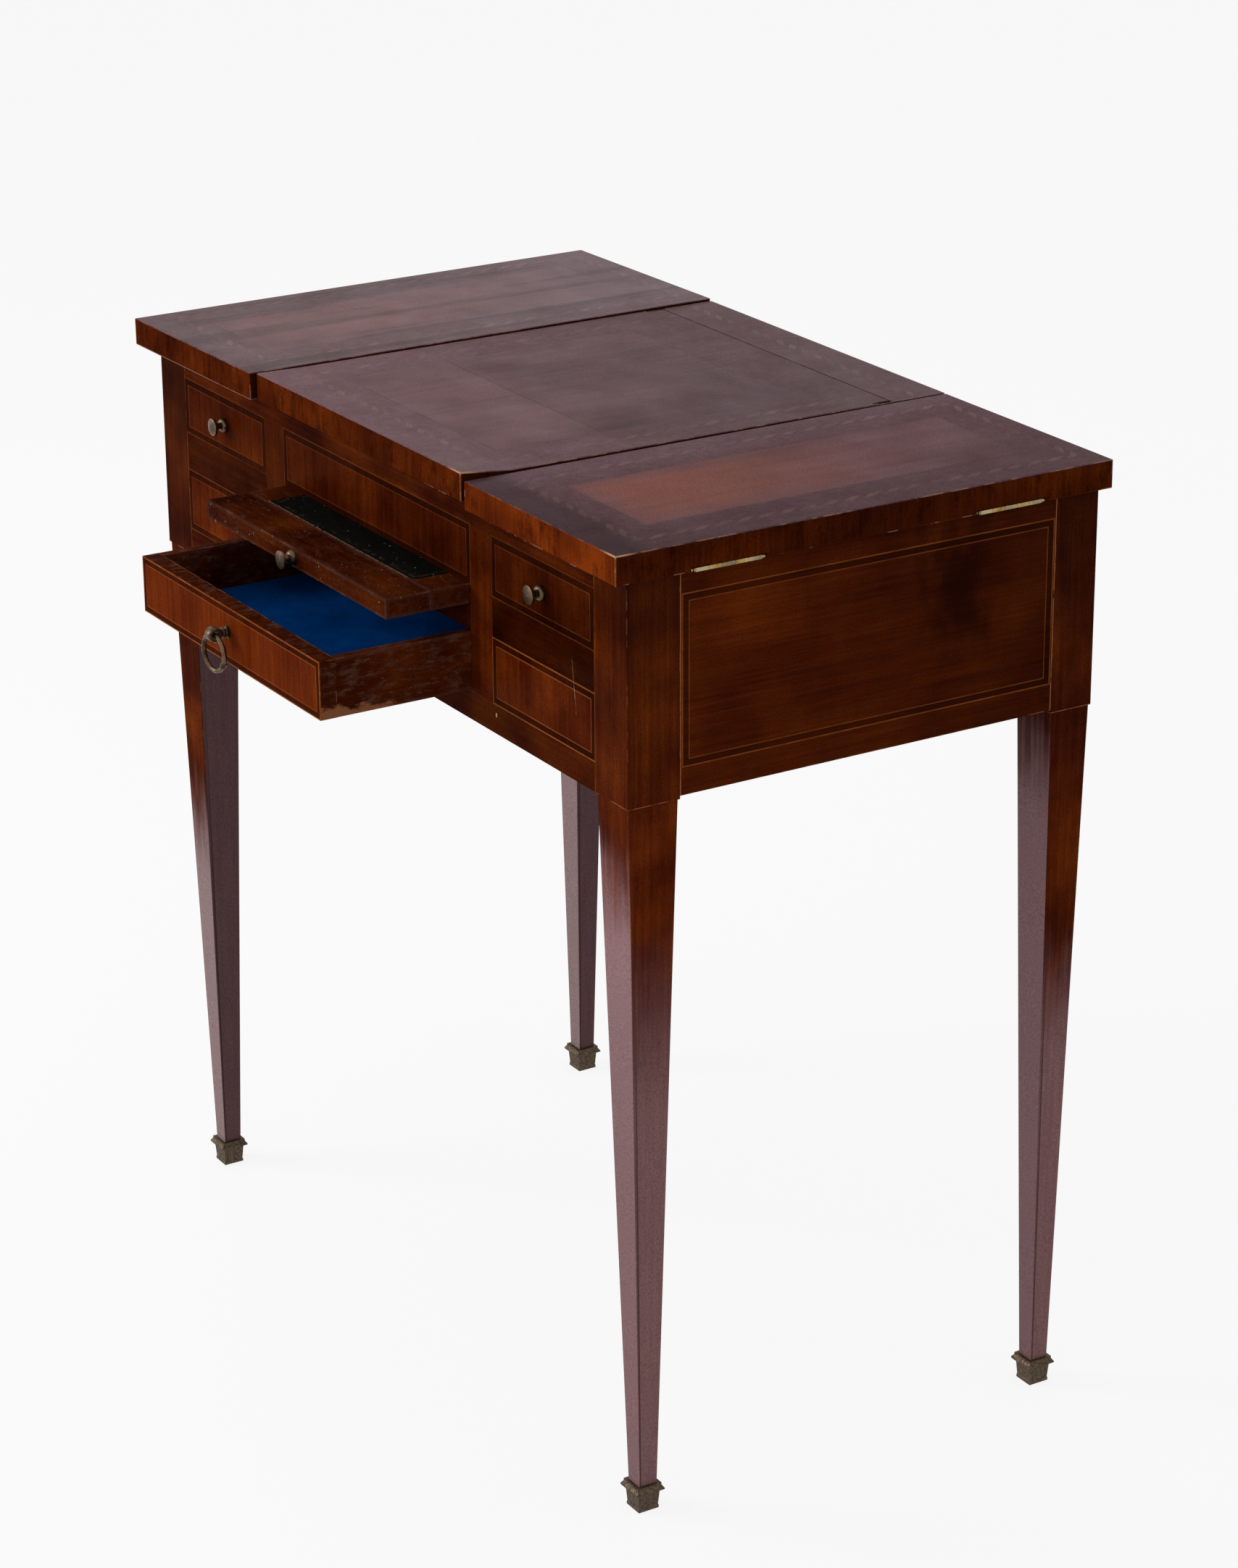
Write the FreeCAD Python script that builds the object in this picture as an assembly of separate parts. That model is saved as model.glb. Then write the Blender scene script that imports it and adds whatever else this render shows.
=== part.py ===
"""Dressing table with three lids, a writing slide and a centre drawer, as separate pieces.

Lengths are millimetres, +Z is up, and the front of the table looks along -Y.
Pieces are drawn about the middle of the case and moved to the table's origin when written.
"""
import FreeCAD, Part
import os
from FreeCAD import Vector
from math import hypot, sqrt

# Top
table_height = 776.0
lid_thickness = 22.0
lid_seat_gap = 0.3
side_overhang = 9.7
back_overhang = 4.9
left_lid_front_overhang = 17.5
right_lid_front_overhang = 15.0
flap_left_front_overhang = 12.5
flap_right_front_overhang = 17.0
section_gap = 2.2
lid_edge_round = 0.8
lid_edge_ease = 0.6

# The left lid no longer lies down: how far it stands open, in degrees
left_lid_ajar = 0.56

# The flap has warped: how far it stands above the lids at its back, where it starts to curl, and in front
flap_back_rise = 0.5
flap_curl_left_rise = 0.9
flap_curl_right_rise = 1.5
flap_front_left_rise = 1.8
flap_front_right_rise = 6.2

# Case
case_width = 740.0
case_depth = 411.0
post_width = 44.0
back_post_depth = 38.0
board = 18.0
back_board = 12.0
thin_board = 6.0
top_rail_height = 18.7
upper_row_height = 46.2
mid_rail_height = 32.8
lower_row_height = 50.7
bottom_rail_height = 23.8
side_panel_lift = 2.5
stile_width = 32.5
partition_thickness = 21.0
partition_seat = 18.4
partition_drop = 12.0

# Legs and their metal shoes
leg_step = 1.25
foot_width = 15.5
foot_outward = 3.0
toe_width = 13.2
shoe_height = 22.0
shoe_floor = 3.0
shoe_base_width = 17.8
shoe_waist_width = 17.0
shoe_body_width = 18.9
shoe_lip_width = 24.6
shoe_collar_width = 21.0
shoe_base_height = 2.2
shoe_waist_height = 3.0
shoe_body_height = 15.0
shoe_lip_start = 16.4
shoe_lip_end = 17.6
shoe_collar_start = 20.3
cavetto_out_share = 0.28
cavetto_up_share = 0.72

# Writing slide
slide_thickness = 15.2
slide_gap = 0.4
slide_rest_gap = 0.3
slide_side_gap = 2.2
slide_depth = 380.0
slide_pulled = 70.0
cleat_width = 37.5
leather_thickness = 0.8
leather_side_border = 29.8
leather_front_border = 1.0
leather_back_border = 30.0
leather_corner = 9.0

# Centre drawer
drawer_opening_height = 47.7
drawer_front_height = 45.6
drawer_rise = 0.4
drawer_run_gap = 0.3
drawer_front_gap = 0.5
drawer_front_thickness = 14.0
drawer_side_thickness = 8.5
drawer_side_gap = 0.8
drawer_back_thickness = 8.0
drawer_length = 384.0
drawer_pulled = 127.6
drawer_bottom_lift = 3.0
drawer_bottom_thickness = 5.0
drawer_groove = 3.0
drawer_back_drop = 4.0
felt_thickness = 1.2
tail_length = 9.0
tail_count = 3
tail_root_share = 0.52
tail_tip_share = 0.74

# Small drawers behind the two upper fronts
small_drawer_length = 150.0
small_side_thickness = 6.5
small_side_drop = 3.0
small_bottom_thickness = 4.0

# Runners
runner_width = 12.0
runner_height = 10.0
small_runner_height = 12.0
small_guide_width = 4.0
small_guide_rise = 14.0

# Wells under the lids
well_wall_from_front = 165.0
tray_gap = 0.4

# Outward hinges of the side lids
hinge_spread = 245.3
hinge_forward = 3.0
hinge_axis_out = 5.0
barrel_radius = 2.6
knuckle_length = 11.0
knuckle_count = 5
knuckle_gap = 0.25
leaf_width = 20.0
leaf_thickness = 1.4
pin_radius = 1.3
pin_running_gap = 0.08
finial_length = 4.5
finial_ball_radius = 1.75
finial_collar_width = 1.0
finial_collar_radius = 2.2
finial_neck_radius = 0.9
barrel_recess_gap = 0.6

# Knife hinges of the mirror flap
flap_pivot_forward = 12.0
flap_pivot_depth = 3.0
flap_back_seam = 1.5
back_strip_depth = 48.4
knife_thickness = 3.9
knife_lap = 1.8
knife_half_height = 2.4
knife_length = 28.0
knife_eye_radius = 2.6
knife_pin_radius = 1.1
knife_clearance = 0.8

# Mirror under the flap
mirror_width = 270.0
mirror_depth = 290.0
mirror_thickness = 4.0
mirror_frame_width = 14.0
mirror_frame_height = 7.0
mirror_frame_bevel = 5.0
mirror_rebate = 3.0
mirror_side_gap = 3.0
mirror_front_margin = 22.0
mitre_share = 0.8

# Turned brass knobs
knob_base_radius = 6.0
knob_base_thickness = 1.2
knob_bell_length = 5.2
knob_neck_radius = 2.6
knob_neck_end = 8.6
knob_head_radius = 7.2
knob_head_start = 10.2
knob_head_edge = 11.8
knob_reach = 12.8

# Ring pull of the centre drawer: a turned post with a pierced drum, and the ring through it
pull_below_top = 19.5
pull_base_radius = 4.8
pull_base_thickness = 1.2
pull_bead_radius = 4.3
pull_bead_width = 2.4
pull_hollow_radius = 3.2
pull_post_end = 6.6
pull_drum_out = 12.5
pull_drum_radius = 5.75
pull_drum_length = 8.6
pull_drum_chamfer = 0.9
pull_hole_radius = 3.25
ring_radius = 14.4
ring_wire_radius = 1.9
ring_turn = 6.0
ring_bead_radius = 2.5
ring_bead_length = 4.4
ring_bead_turn = 118.0

# One overrun serves every cut that has to pass a face, and points this close are one point
overrun = 2.0
weld = 0.001

# Levels
case_top = table_height - lid_thickness - lid_seat_gap
lid_bottom = case_top + lid_seat_gap
upper_top = case_top - top_rail_height
upper_bottom = upper_top - upper_row_height
lower_top = upper_bottom - mid_rail_height
lower_bottom = lower_top - lower_row_height
case_bottom = lower_bottom - bottom_rail_height
slide_top = upper_bottom - slide_gap
slide_bottom = slide_top - slide_thickness
blade_top = slide_bottom - slide_rest_gap
blade_bottom = lower_bottom + drawer_opening_height
drawer_bottom = lower_bottom + drawer_rise
drawer_top = drawer_bottom + drawer_front_height
runner_top = drawer_bottom - drawer_run_gap
bottom_board_low = lower_bottom - thin_board
bottom_board_high = lower_bottom
side_bottom = case_bottom + side_panel_lift
flap_top = table_height + flap_back_rise

# Places across and along
half_width = case_width / 2
front = -case_depth / 2
back = case_depth / 2
inner_front = front + board
inner_back = back - back_board
inner_side = half_width - board
post_inner = half_width - post_width
centre_opening = mirror_width + 2 * (mirror_frame_width - mirror_rebate + mirror_side_gap)
opening_half = centre_opening / 2
partition_out = opening_half + partition_thickness
stile_out = opening_half + stile_width
lid_edge = half_width + side_overhang
lid_back = back + back_overhang
section_half = opening_half + partition_seat
lid_inner = section_half + section_gap
back_seam = lid_back - back_strip_depth
flap_back = back_seam - flap_back_seam
curl_start = inner_front + mirror_front_margin - mirror_frame_width
well_wall_front = front + well_wall_from_front
well_wall_back = well_wall_front + thin_board
slide_front = front - slide_pulled
drawer_front = front - drawer_pulled
hinge_x = half_width + hinge_axis_out
hinge_z = case_top + lid_seat_gap / 2
pivot_y = flap_back - flap_pivot_forward
pivot_z = flap_top - flap_pivot_depth
small_middle = (stile_out + post_inner) / 2
upper_middle = (upper_top + upper_bottom) / 2
pull_z = drawer_top - pull_below_top
pull_y = drawer_front - pull_drum_out

# The origin is the middle of the floor area that the table fills with its drawer and slide out
front_reach = pull_y - pull_drum_radius
origin_shift = Vector(0, -(front_reach + lid_back) / 2, 0)

X = Vector(1, 0, 0)
Y = Vector(0, 1, 0)
Z = Vector(0, 0, 1)
ORIGIN = Vector(0, 0, 0)


def block(x0, x1, y0, y1, z0, z1):
    """A squared board between two opposite corners."""
    return Part.makeBox(x1 - x0, y1 - y0, z1 - z0, Vector(x0, y0, z0))


def mirrored(shape):
    """The same piece for the other side of the table."""
    return shape.mirror(ORIGIN, X)


def both_sides(shape):
    return [shape, mirrored(shape)]


def across(a, b):
    """A point of a section seen from the front."""
    return Vector(a, 0, b)


def along(a, b):
    """A point of a section seen from the right side."""
    return Vector(0, a, b)


def outline(place, start, *steps):
    """A face from straight steps (points) and arcs (pairs of a point passed and an end)."""
    edges = []
    here = place(*start)
    for step in steps:
        if isinstance(step[0], tuple):
            passed, end = place(*step[0]), place(*step[1])
            edges.append(Part.Arc(here, passed, end).toShape())
        else:
            end = place(*step)
            edges.append(Part.LineSegment(here, end).toShape())
        here = end
    if not here.isEqual(place(*start), weld):
        edges.append(Part.LineSegment(here, place(*start)).toShape())
    return Part.Face(Part.Wire(edges))


def round_about(centre, start, end):
    """An arc step for an outline, the short way round a centre."""
    radius = hypot(end[0] - centre[0], end[1] - centre[1])
    a = start[0] + end[0] - 2 * centre[0]
    b = start[1] + end[1] - 2 * centre[1]
    share = radius / hypot(a, b)
    return (centre[0] + a * share, centre[1] + b * share), end


def rectangle(x, y, width_x, width_y, z):
    """A level rectangle about a point, for a loft."""
    a, b = width_x / 2, width_y / 2
    corners = [Vector(x - a, y - b, z), Vector(x + a, y - b, z),
               Vector(x + a, y + b, z), Vector(x - a, y + b, z)]
    return Part.makePolygon(corners + corners[:1])


def turned(face, place):
    """A face in the XZ plane spun about Z, then laid so that its axis points out of the front."""
    spun = face.revolve(ORIGIN, Z, 360)
    spun.rotate(ORIGIN, X, 90)
    spun.translate(place)
    return spun


def square_turned(face, reach):
    """The square moulding whose section both ways is the half section in the face."""
    bar = face.extrude(Y * (2 * reach))
    bar.translate(Y * -reach)
    bar = bar.fuse(mirrored(bar)).removeSplitter()
    crossing = bar.copy()
    crossing.rotate(ORIGIN, Z, 90)
    return bar.common(crossing).removeSplitter()


def write(node, *shapes):
    """Writes a node's solids at the table's origin."""
    solids = [solid for shape in shapes for solid in shape.Solids]
    shape = solids[0] if len(solids) == 1 else Part.makeCompound(solids)
    shape = shape.copy()
    shape.translate(origin_shift)
    if not shape.isValid():
        raise ValueError("broken solid: " + node)
    shape.exportStep("parts/" + node + ".step")


# Legs

def leg_place(side, row):
    """The middle of a leg, and the size of its post along the depth."""
    depth = post_width if row == "front" else back_post_depth
    y = front + depth / 2 if row == "front" else back - depth / 2
    return side * (half_width - post_width / 2), y, depth


def leg(side, row):
    """A post with the tapered leg below it, in one piece of wood."""
    x, y, depth = leg_place(side, row)
    foot = x + side * foot_outward
    post = block(x - post_width / 2, x + post_width / 2, y - depth / 2, y + depth / 2, case_bottom, case_top)
    top = rectangle(x, y, post_width - 2 * leg_step, depth - 2 * leg_step, case_bottom)
    ankle = rectangle(foot, y, foot_width, foot_width, shoe_height)
    toe = rectangle(foot, y, toe_width, toe_width, shoe_floor)
    taper = Part.makeLoft([toe, ankle, top], True, True)
    return post.fuse(taper).removeSplitter()


def shoe_section():
    """Half of the shoe's section: base fillet, waist, body, hollow under the lip, lip and collar."""
    base, waist, body = shoe_base_width / 2, shoe_waist_width / 2, shoe_body_width / 2
    lip, collar = shoe_lip_width / 2, shoe_collar_width / 2
    hollow_x = body + cavetto_out_share * (lip - body)
    hollow_z = shoe_body_height + cavetto_up_share * (shoe_lip_start - shoe_body_height)
    return outline(across, (0, 0), (base, 0), (base, shoe_base_height), (waist, shoe_waist_height),
                   (body, shoe_body_height), ((hollow_x, hollow_z), (lip, shoe_lip_start)),
                   (lip, shoe_lip_end), (collar, shoe_collar_start), (collar, shoe_height), (0, shoe_height))


def shoe(side, row):
    """The cast shoe round the toe of a leg."""
    x, y, _ = leg_place(side, row)
    cast = square_turned(shoe_section(), shoe_lip_width)
    cast.translate(Vector(x + side * foot_outward, y, 0))
    return cast.cut(leg(side, row))


# Case

def hinge_middles():
    return [-hinge_forward - hinge_spread / 2, -hinge_forward + hinge_spread / 2]


def barrel_length():
    return knuckle_count * knuckle_length


def side_panel():
    """The right side board, let in for the hinge leaves on its top edge."""
    panel = block(inner_side, half_width, front + post_width, back - back_post_depth, side_bottom, case_top)
    for middle in hinge_middles():
        half = barrel_length() / 2
        panel = panel.cut(block(hinge_x - leaf_width, half_width + overrun, middle - half, middle + half,
                                case_top - leaf_thickness, case_top + overrun))
    return panel


def front_board(x0, x1, z0, z1):
    """A rail, stile or fixed front, flush with the face of the posts."""
    return block(x0, x1, front, inner_front, z0, z1)


def back_panel():
    return block(-post_inner, post_inner, inner_back, back, side_bottom, case_top)


def partition():
    """The upright board beside the centre compartment, under the seam of the lids."""
    low = lower_bottom - partition_drop
    return block(opening_half, partition_out, inner_front, inner_back, low, case_top)


def fitted_round_posts(shape):
    """A level board of the right column, notched at the corners for the two posts."""
    for row in ("front", "back"):
        shape = shape.cut(leg(1, row))
    return shape


def bottom_board():
    return fitted_round_posts(block(partition_out, inner_side, inner_front, inner_back,
                                    bottom_board_low, bottom_board_high))


def tray_floor():
    """The shallow tray's floor over a small drawer, resting on the wall of the deep well."""
    low = upper_top + tray_gap
    floor = block(partition_out, inner_side, inner_front, well_wall_back, low, low + thin_board)
    return fitted_round_posts(floor)


def well_wall():
    high = upper_top + tray_gap
    return block(partition_out, inner_side, well_wall_front, well_wall_back, bottom_board_high, high)


def centre_well_floor():
    high = upper_bottom + thin_board
    return block(-opening_half, opening_half, inner_front, inner_back, upper_bottom, high)


def slide_bearer():
    """The strip that carries the slide and keeps the drawer below from tipping."""
    return block(opening_half - runner_width, opening_half, inner_front, inner_back, blade_bottom, blade_top)


def drawer_runner():
    return block(opening_half - runner_width, opening_half, inner_front, inner_back,
                 runner_top - runner_height, runner_top)


def small_runner(inner, outward):
    """A runner and the guide beside it; outward is the direction of the guide from the drawer."""
    top = upper_bottom + drawer_rise - drawer_run_gap
    low = top - small_runner_height
    edge = inner - outward * runner_width
    rim = inner + outward * small_guide_width
    shelf = block(min(edge, inner), max(edge, inner), inner_front, well_wall_front, low, top)
    guide = block(min(inner, rim), max(inner, rim), inner_front, well_wall_front, low, top + small_guide_rise)
    return [shelf, guide.cut(leg(1, "front"))]


def back_strip():
    """The fixed strip of the top behind the mirror flap, pocketed for the knife hinges."""
    strip = block(-section_half, section_half, back_seam, lid_back, case_top, table_height)
    return strip.cut(Part.makeCompound(both_sides(knife_pocket_in_strip())))


# Outward hinges

def level_cylinder(radius, x, y0, y1, z):
    return Part.makeCylinder(radius, y1 - y0, Vector(x, y0, z), Y)


def knuckle(index, middle, bore):
    """One knuckle of a barrel, counted from the front."""
    y0 = middle - barrel_length() / 2 + index * knuckle_length + knuckle_gap / 2
    y1 = y0 + knuckle_length - knuckle_gap
    return level_cylinder(barrel_radius, hinge_x, y0, y1, hinge_z).cut(
        level_cylinder(bore, hinge_x, y0 - overrun, y1 + overrun, hinge_z))


def hinge_half(middle, first, z0, z1, bore):
    """A leaf with every other knuckle, from the first one given."""
    half = barrel_length() / 2
    leaf = block(hinge_x - leaf_width, hinge_x, middle - half, middle + half, z0, z1)
    swing = barrel_radius + knuckle_gap
    others = range(1 - first, knuckle_count, 2)
    for index in others:
        y0 = middle - half + index * knuckle_length
        leaf = leaf.cut(level_cylinder(swing, hinge_x, y0, y0 + knuckle_length, hinge_z))
    for index in range(first, knuckle_count, 2):
        y0 = middle - half + index * knuckle_length + knuckle_gap / 2
        room = level_cylinder(barrel_radius, hinge_x, y0, y0 + knuckle_length - knuckle_gap, hinge_z)
        leaf = leaf.cut(room).fuse(knuckle(index, middle, bore))
    bore_line = level_cylinder(bore, hinge_x, middle - half - overrun, middle + half + overrun, hinge_z)
    return leaf.cut(bore_line).removeSplitter()


def hinge_case_half(middle):
    """The leaf on the case with three knuckles that grip the pin."""
    return hinge_half(middle, 0, case_top - leaf_thickness, case_top, pin_radius)


def hinge_lid_half(middle):
    """The leaf under the lid with two knuckles that turn on the pin."""
    return hinge_half(middle, 1, lid_bottom, lid_bottom + leaf_thickness, pin_radius + pin_running_gap)


def hinge_pin(middle):
    """The pin with a collar, neck and ball at each end."""
    half = barrel_length() / 2
    collar_end = half + finial_collar_width
    ball = half + finial_length - finial_ball_radius
    joint = ball - sqrt(finial_ball_radius ** 2 - finial_neck_radius ** 2)
    face = outline(across, (0, -ball - finial_ball_radius),
                   ((finial_ball_radius, -ball), (finial_neck_radius, -joint)),
                   (finial_neck_radius, -collar_end), (finial_collar_radius, -collar_end),
                   (finial_collar_radius, -half), (pin_radius, -half), (pin_radius, half),
                   (finial_collar_radius, half), (finial_collar_radius, collar_end),
                   (finial_neck_radius, collar_end), (finial_neck_radius, joint),
                   ((finial_ball_radius, ball), (0, ball + finial_ball_radius)))
    return turned(face, Vector(hinge_x, middle, hinge_z))


# Lids

def barrel_room(middle):
    """The recess in the lid's lower edge where a barrel with its finials turns."""
    half = barrel_length() / 2 + finial_length + barrel_recess_gap
    room = barrel_radius + barrel_recess_gap
    return block(hinge_x - room, lid_edge + overrun, middle - half, middle + half,
                 lid_bottom - overrun, hinge_z + room)


def lid(front_overhang):
    """The right lid: a board with eased upper edges, let in for its two hinges."""
    wood = block(lid_inner, lid_edge, front - front_overhang, lid_back, lid_bottom, table_height)
    below = table_height - lid_edge_round
    upper = [edge for edge in wood.Edges if min(vertex.Z for vertex in edge.Vertexes) > below]
    wood = wood.makeFillet(lid_edge_round, upper)
    for middle in hinge_middles():
        half = barrel_length() / 2
        leaf_room = block(hinge_x - leaf_width, hinge_x, middle - half, middle + half,
                          lid_bottom - overrun, lid_bottom + leaf_thickness)
        wood = wood.cut(leaf_room).cut(barrel_room(middle))
    return wood


def knife_body(y0, y1):
    """The full thickness of a knife hinge's plate, flush with the end of the flap or strip."""
    return block(section_half - knife_thickness, section_half, y0, y1,
                 pivot_z - knife_half_height, pivot_z + knife_half_height)


def knife_pocket_in_strip():
    return knife_body(back_seam - overrun, back_seam + knife_length)


def knife_lap_plate(x0, x1, y0, y1):
    """The half-thick lap with a round eye about the pivot."""
    eye = Part.makeCylinder(knife_eye_radius, x1 - x0, Vector(x0, pivot_y, pivot_z), X)
    strap = block(x0, x1, min(y0, y1), max(y0, y1), pivot_z - knife_half_height, pivot_z + knife_half_height)
    return eye.fuse(strap)


def knife_fixed_plate():
    """The plate in the end of the back strip, which carries the pivot pin."""
    outer = section_half - knife_lap
    lap = knife_lap_plate(outer, section_half, pivot_y, back_seam)
    body = knife_body(back_seam, back_seam + knife_length)
    pin_start = Vector(section_half - knife_thickness, pivot_y, pivot_z)
    pin = Part.makeCylinder(knife_pin_radius, knife_thickness, pin_start, X)
    return lap.fuse(body).fuse(pin).removeSplitter()


def knife_moving_plate():
    """The plate let into the end of the flap, turning on the pin."""
    inner = section_half - knife_thickness
    edge = pivot_y - knife_eye_radius - knife_clearance
    lap = knife_lap_plate(inner, section_half - knife_lap - (knife_thickness - 2 * knife_lap), edge, pivot_y)
    body = knife_body(edge - knife_length, edge)
    bore = Part.makeCylinder(knife_pin_radius + pin_running_gap, knife_thickness,
                             Vector(inner, pivot_y, pivot_z), X)
    return lap.fuse(body).cut(bore).removeSplitter()


def knife_room_in_flap():
    """The open notch at the flap's end, in which the fixed plate swings."""
    edge = pivot_y - knife_eye_radius - knife_clearance
    low = pivot_z - knife_eye_radius - knife_clearance
    inner, outer = section_half - knife_thickness, section_half + overrun
    notch = block(inner - knife_clearance, outer, edge, flap_back + overrun, low, flap_top + overrun)
    slot = block(inner, outer, edge - knife_length, edge,
                 pivot_z - knife_half_height, pivot_z + knife_half_height)
    return notch.fuse(slot)


def ajar(shape):
    """A piece of the left lid, turned up a little about its hinges."""
    turned_up = shape.copy()
    turned_up.rotate(Vector(-hinge_x, 0, hinge_z), Y, -left_lid_ajar)
    return turned_up


def flap_section(x, warp, ease):
    """The flap's outline across the table at one place, its upper arrises eased by the amount given.

    The warp is the overhang in front, the rise where the curl starts and the rise of the front.
    """
    overhang, curl_rise, front_rise = warp
    swing = pivot_z - lid_bottom
    rise = swing - sqrt(swing ** 2 - flap_pivot_forward ** 2)
    back_corner = (flap_back, lid_bottom + rise)
    turn = round_about((pivot_y, pivot_z), (pivot_y, lid_bottom), back_corner)
    flap_front = front - overhang
    near, far = table_height + front_rise - ease, flap_top - ease
    face = outline(along, (flap_front, lid_bottom + front_rise), (curl_start, lid_bottom),
                   (pivot_y, lid_bottom), turn, (flap_back, far - lid_edge_ease),
                   (flap_back - lid_edge_ease, far), (curl_start, table_height + curl_rise - ease),
                   (flap_front + lid_edge_ease, near), (flap_front, near - lid_edge_ease))
    wire = face.OuterWire
    wire.translate(X * x)
    return wire


def flap():
    """The centre flap, curled up in front, its rear lower edge planed to the swing about the pivots."""
    left = flap_left_front_overhang, flap_curl_left_rise, flap_front_left_rise
    right = flap_right_front_overhang, flap_curl_right_rise, flap_front_right_rise
    inner = section_half - lid_edge_ease
    wires = [flap_section(-section_half, left, lid_edge_ease), flap_section(-inner, left, 0),
             flap_section(inner, right, 0), flap_section(section_half, right, lid_edge_ease)]
    wood = Part.makeLoft(wires, True, True)
    return wood.cut(Part.makeCompound(both_sides(knife_room_in_flap())))


def mirror_place():
    """The near and far edges of the glass."""
    near = inner_front + mirror_front_margin
    return near, near + mirror_depth


def mirror_glass():
    near, far = mirror_place()
    return block(-mirror_width / 2, mirror_width / 2, near, far, lid_bottom - mirror_thickness, lid_bottom)


def mirror_frame():
    """The frame under the flap in four mitred bars: a bevelled sight edge and a rebate for the glass."""
    near, far = mirror_place()
    middle, depth = (near + far) / 2, far - near
    edge = mirror_frame_width - mirror_rebate
    half_x, half_y = mirror_width / 2 + edge, depth / 2 + edge
    low = lid_bottom - mirror_frame_height
    body = block(-half_x, half_x, middle - half_y, middle + half_y, low, lid_bottom)
    sight_x, sight_y = mirror_width - 2 * mirror_rebate, depth - 2 * mirror_rebate
    sight = rectangle(0, middle, sight_x, sight_y, lid_bottom - mirror_thickness)
    opening = rectangle(0, middle, sight_x + 2 * mirror_frame_bevel, sight_y + 2 * mirror_frame_bevel, low)
    body = body.cut(Part.makeLoft([opening, sight], True, True)).cut(mirror_glass())
    corners = [(-half_x, -half_y), (half_x, -half_y), (half_x, half_y), (-half_x, half_y)]
    bars = []
    for (ax, ay), (bx, by) in zip(corners, corners[1:] + corners[:1]):
        wedge = [Vector(ax, middle + ay, low), Vector(bx, middle + by, low),
                 Vector(bx * mitre_share, middle + by - (half_x - half_x * mitre_share) * by / half_y, low),
                 Vector(ax * mitre_share, middle + ay - (half_x - half_x * mitre_share) * ay / half_y, low)]
        prism = Part.Face(Part.makePolygon(wedge + wedge[:1])).extrude(Z * mirror_frame_height)
        bars.append(body.common(prism))
    return bars


# Writing slide

def slide_half():
    return opening_half - slide_side_gap


def leather_face(grow):
    """The leather's outline with rounded front corners, larger all round by the amount given."""
    side = slide_half() - leather_side_border + grow
    near = slide_front + cleat_width + leather_front_border - grow
    far = slide_front + slide_depth - leather_back_border + grow
    turn = leather_corner * (1 - sqrt(2) / 2)

    def level(a, b):
        return Vector(a, b, slide_top - leather_thickness)

    return outline(level, (-side + leather_corner, near), (side - leather_corner, near),
                   ((side - turn, near + turn), (side, near + leather_corner)),
                   (side, far), (-side, far), (-side, near + leather_corner),
                   ((-side + turn, near + turn), (-side + leather_corner, near)))


def slide_leather():
    return leather_face(0).extrude(Z * leather_thickness)


def slide_board():
    """The panel of the slide behind its cleat, recessed for the leather."""
    panel = block(-slide_half(), slide_half(), slide_front + cleat_width, slide_front + slide_depth,
                  slide_bottom, slide_top)
    return panel.cut(leather_face(0).extrude(Z * (leather_thickness + overrun)))


def slide_cleat():
    """The cleat across the front edge, which keeps the panel flat and holds the knob."""
    return block(-slide_half(), slide_half(), slide_front, slide_front + cleat_width, slide_bottom, slide_top)


# Knobs and the ring pull

def knob(x, y, z):
    """A small turned knob: base, bell, neck and a thin head, standing out of the face at y."""
    bell = (knob_neck_radius + (knob_base_radius - knob_neck_radius) / sqrt(2),
            knob_base_thickness + (knob_bell_length - knob_base_thickness) / sqrt(2))
    crown = knob_reach - knob_head_edge
    dome = (knob_head_radius ** 2 + crown ** 2) / (2 * crown)
    face = outline(across, (0, 0), (knob_base_radius, 0), (knob_base_radius, knob_base_thickness),
                   (bell, (knob_neck_radius, knob_bell_length)), (knob_neck_radius, knob_neck_end),
                   (knob_head_radius, knob_head_start), (knob_head_radius, knob_head_edge),
                   round_about((0, knob_reach - dome), (knob_head_radius, knob_head_edge), (0, knob_reach)))
    return turned(face, Vector(x, y, z))


def pull_drum():
    """The drum at the end of the post, lying across."""
    end = Vector(-pull_drum_length / 2, pull_y, pull_z)
    drum = Part.makeCylinder(pull_drum_radius, pull_drum_length, end, X)
    return drum.makeChamfer(pull_drum_chamfer, [edge for edge in drum.Edges if edge.isClosed()])


def pull_stem():
    """The ring pull's post with its base and two beads, and the drum pierced from side to side."""
    level = pull_base_thickness
    steps = [(pull_base_radius, 0), (pull_base_radius, level), (pull_hollow_radius, level)]
    while level + pull_bead_width < pull_post_end:
        swell = (pull_bead_radius, level + pull_bead_width / 2)
        level += pull_bead_width
        steps.append((swell, (pull_hollow_radius, level)))
    steps.append((pull_hollow_radius, pull_drum_out))
    steps.append((0, pull_drum_out))
    post = turned(outline(across, (0, 0), *steps), Vector(0, drawer_front, pull_z))
    end = Vector(-pull_drum_length, pull_y, pull_z)
    hole = Part.makeCylinder(pull_hole_radius, 2 * pull_drum_length, end, X)
    return post.fuse(pull_drum()).cut(hole)


def pull_ring():
    """The ring, hanging through the drum a little turned, with the bead that hides its joint."""
    middle = Vector(0, pull_y, pull_z - ring_radius)
    ring = Part.makeTorus(ring_radius, ring_wire_radius, middle, Y)
    bead = Part.makeCylinder(ring_bead_radius, ring_bead_length,
                             middle + Vector(-ring_bead_length / 2, 0, ring_radius), X)
    rims = [edge for edge in bead.Edges if edge.isClosed()]
    bead = bead.makeChamfer(ring_bead_radius - ring_wire_radius, rims)
    bead.rotate(middle, Y, ring_bead_turn)
    ring = ring.fuse(bead)
    ring.rotate(Vector(0, pull_y, pull_z), Z, ring_turn)
    return ring


# Centre drawer

def drawer_half():
    return opening_half - drawer_side_gap


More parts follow.
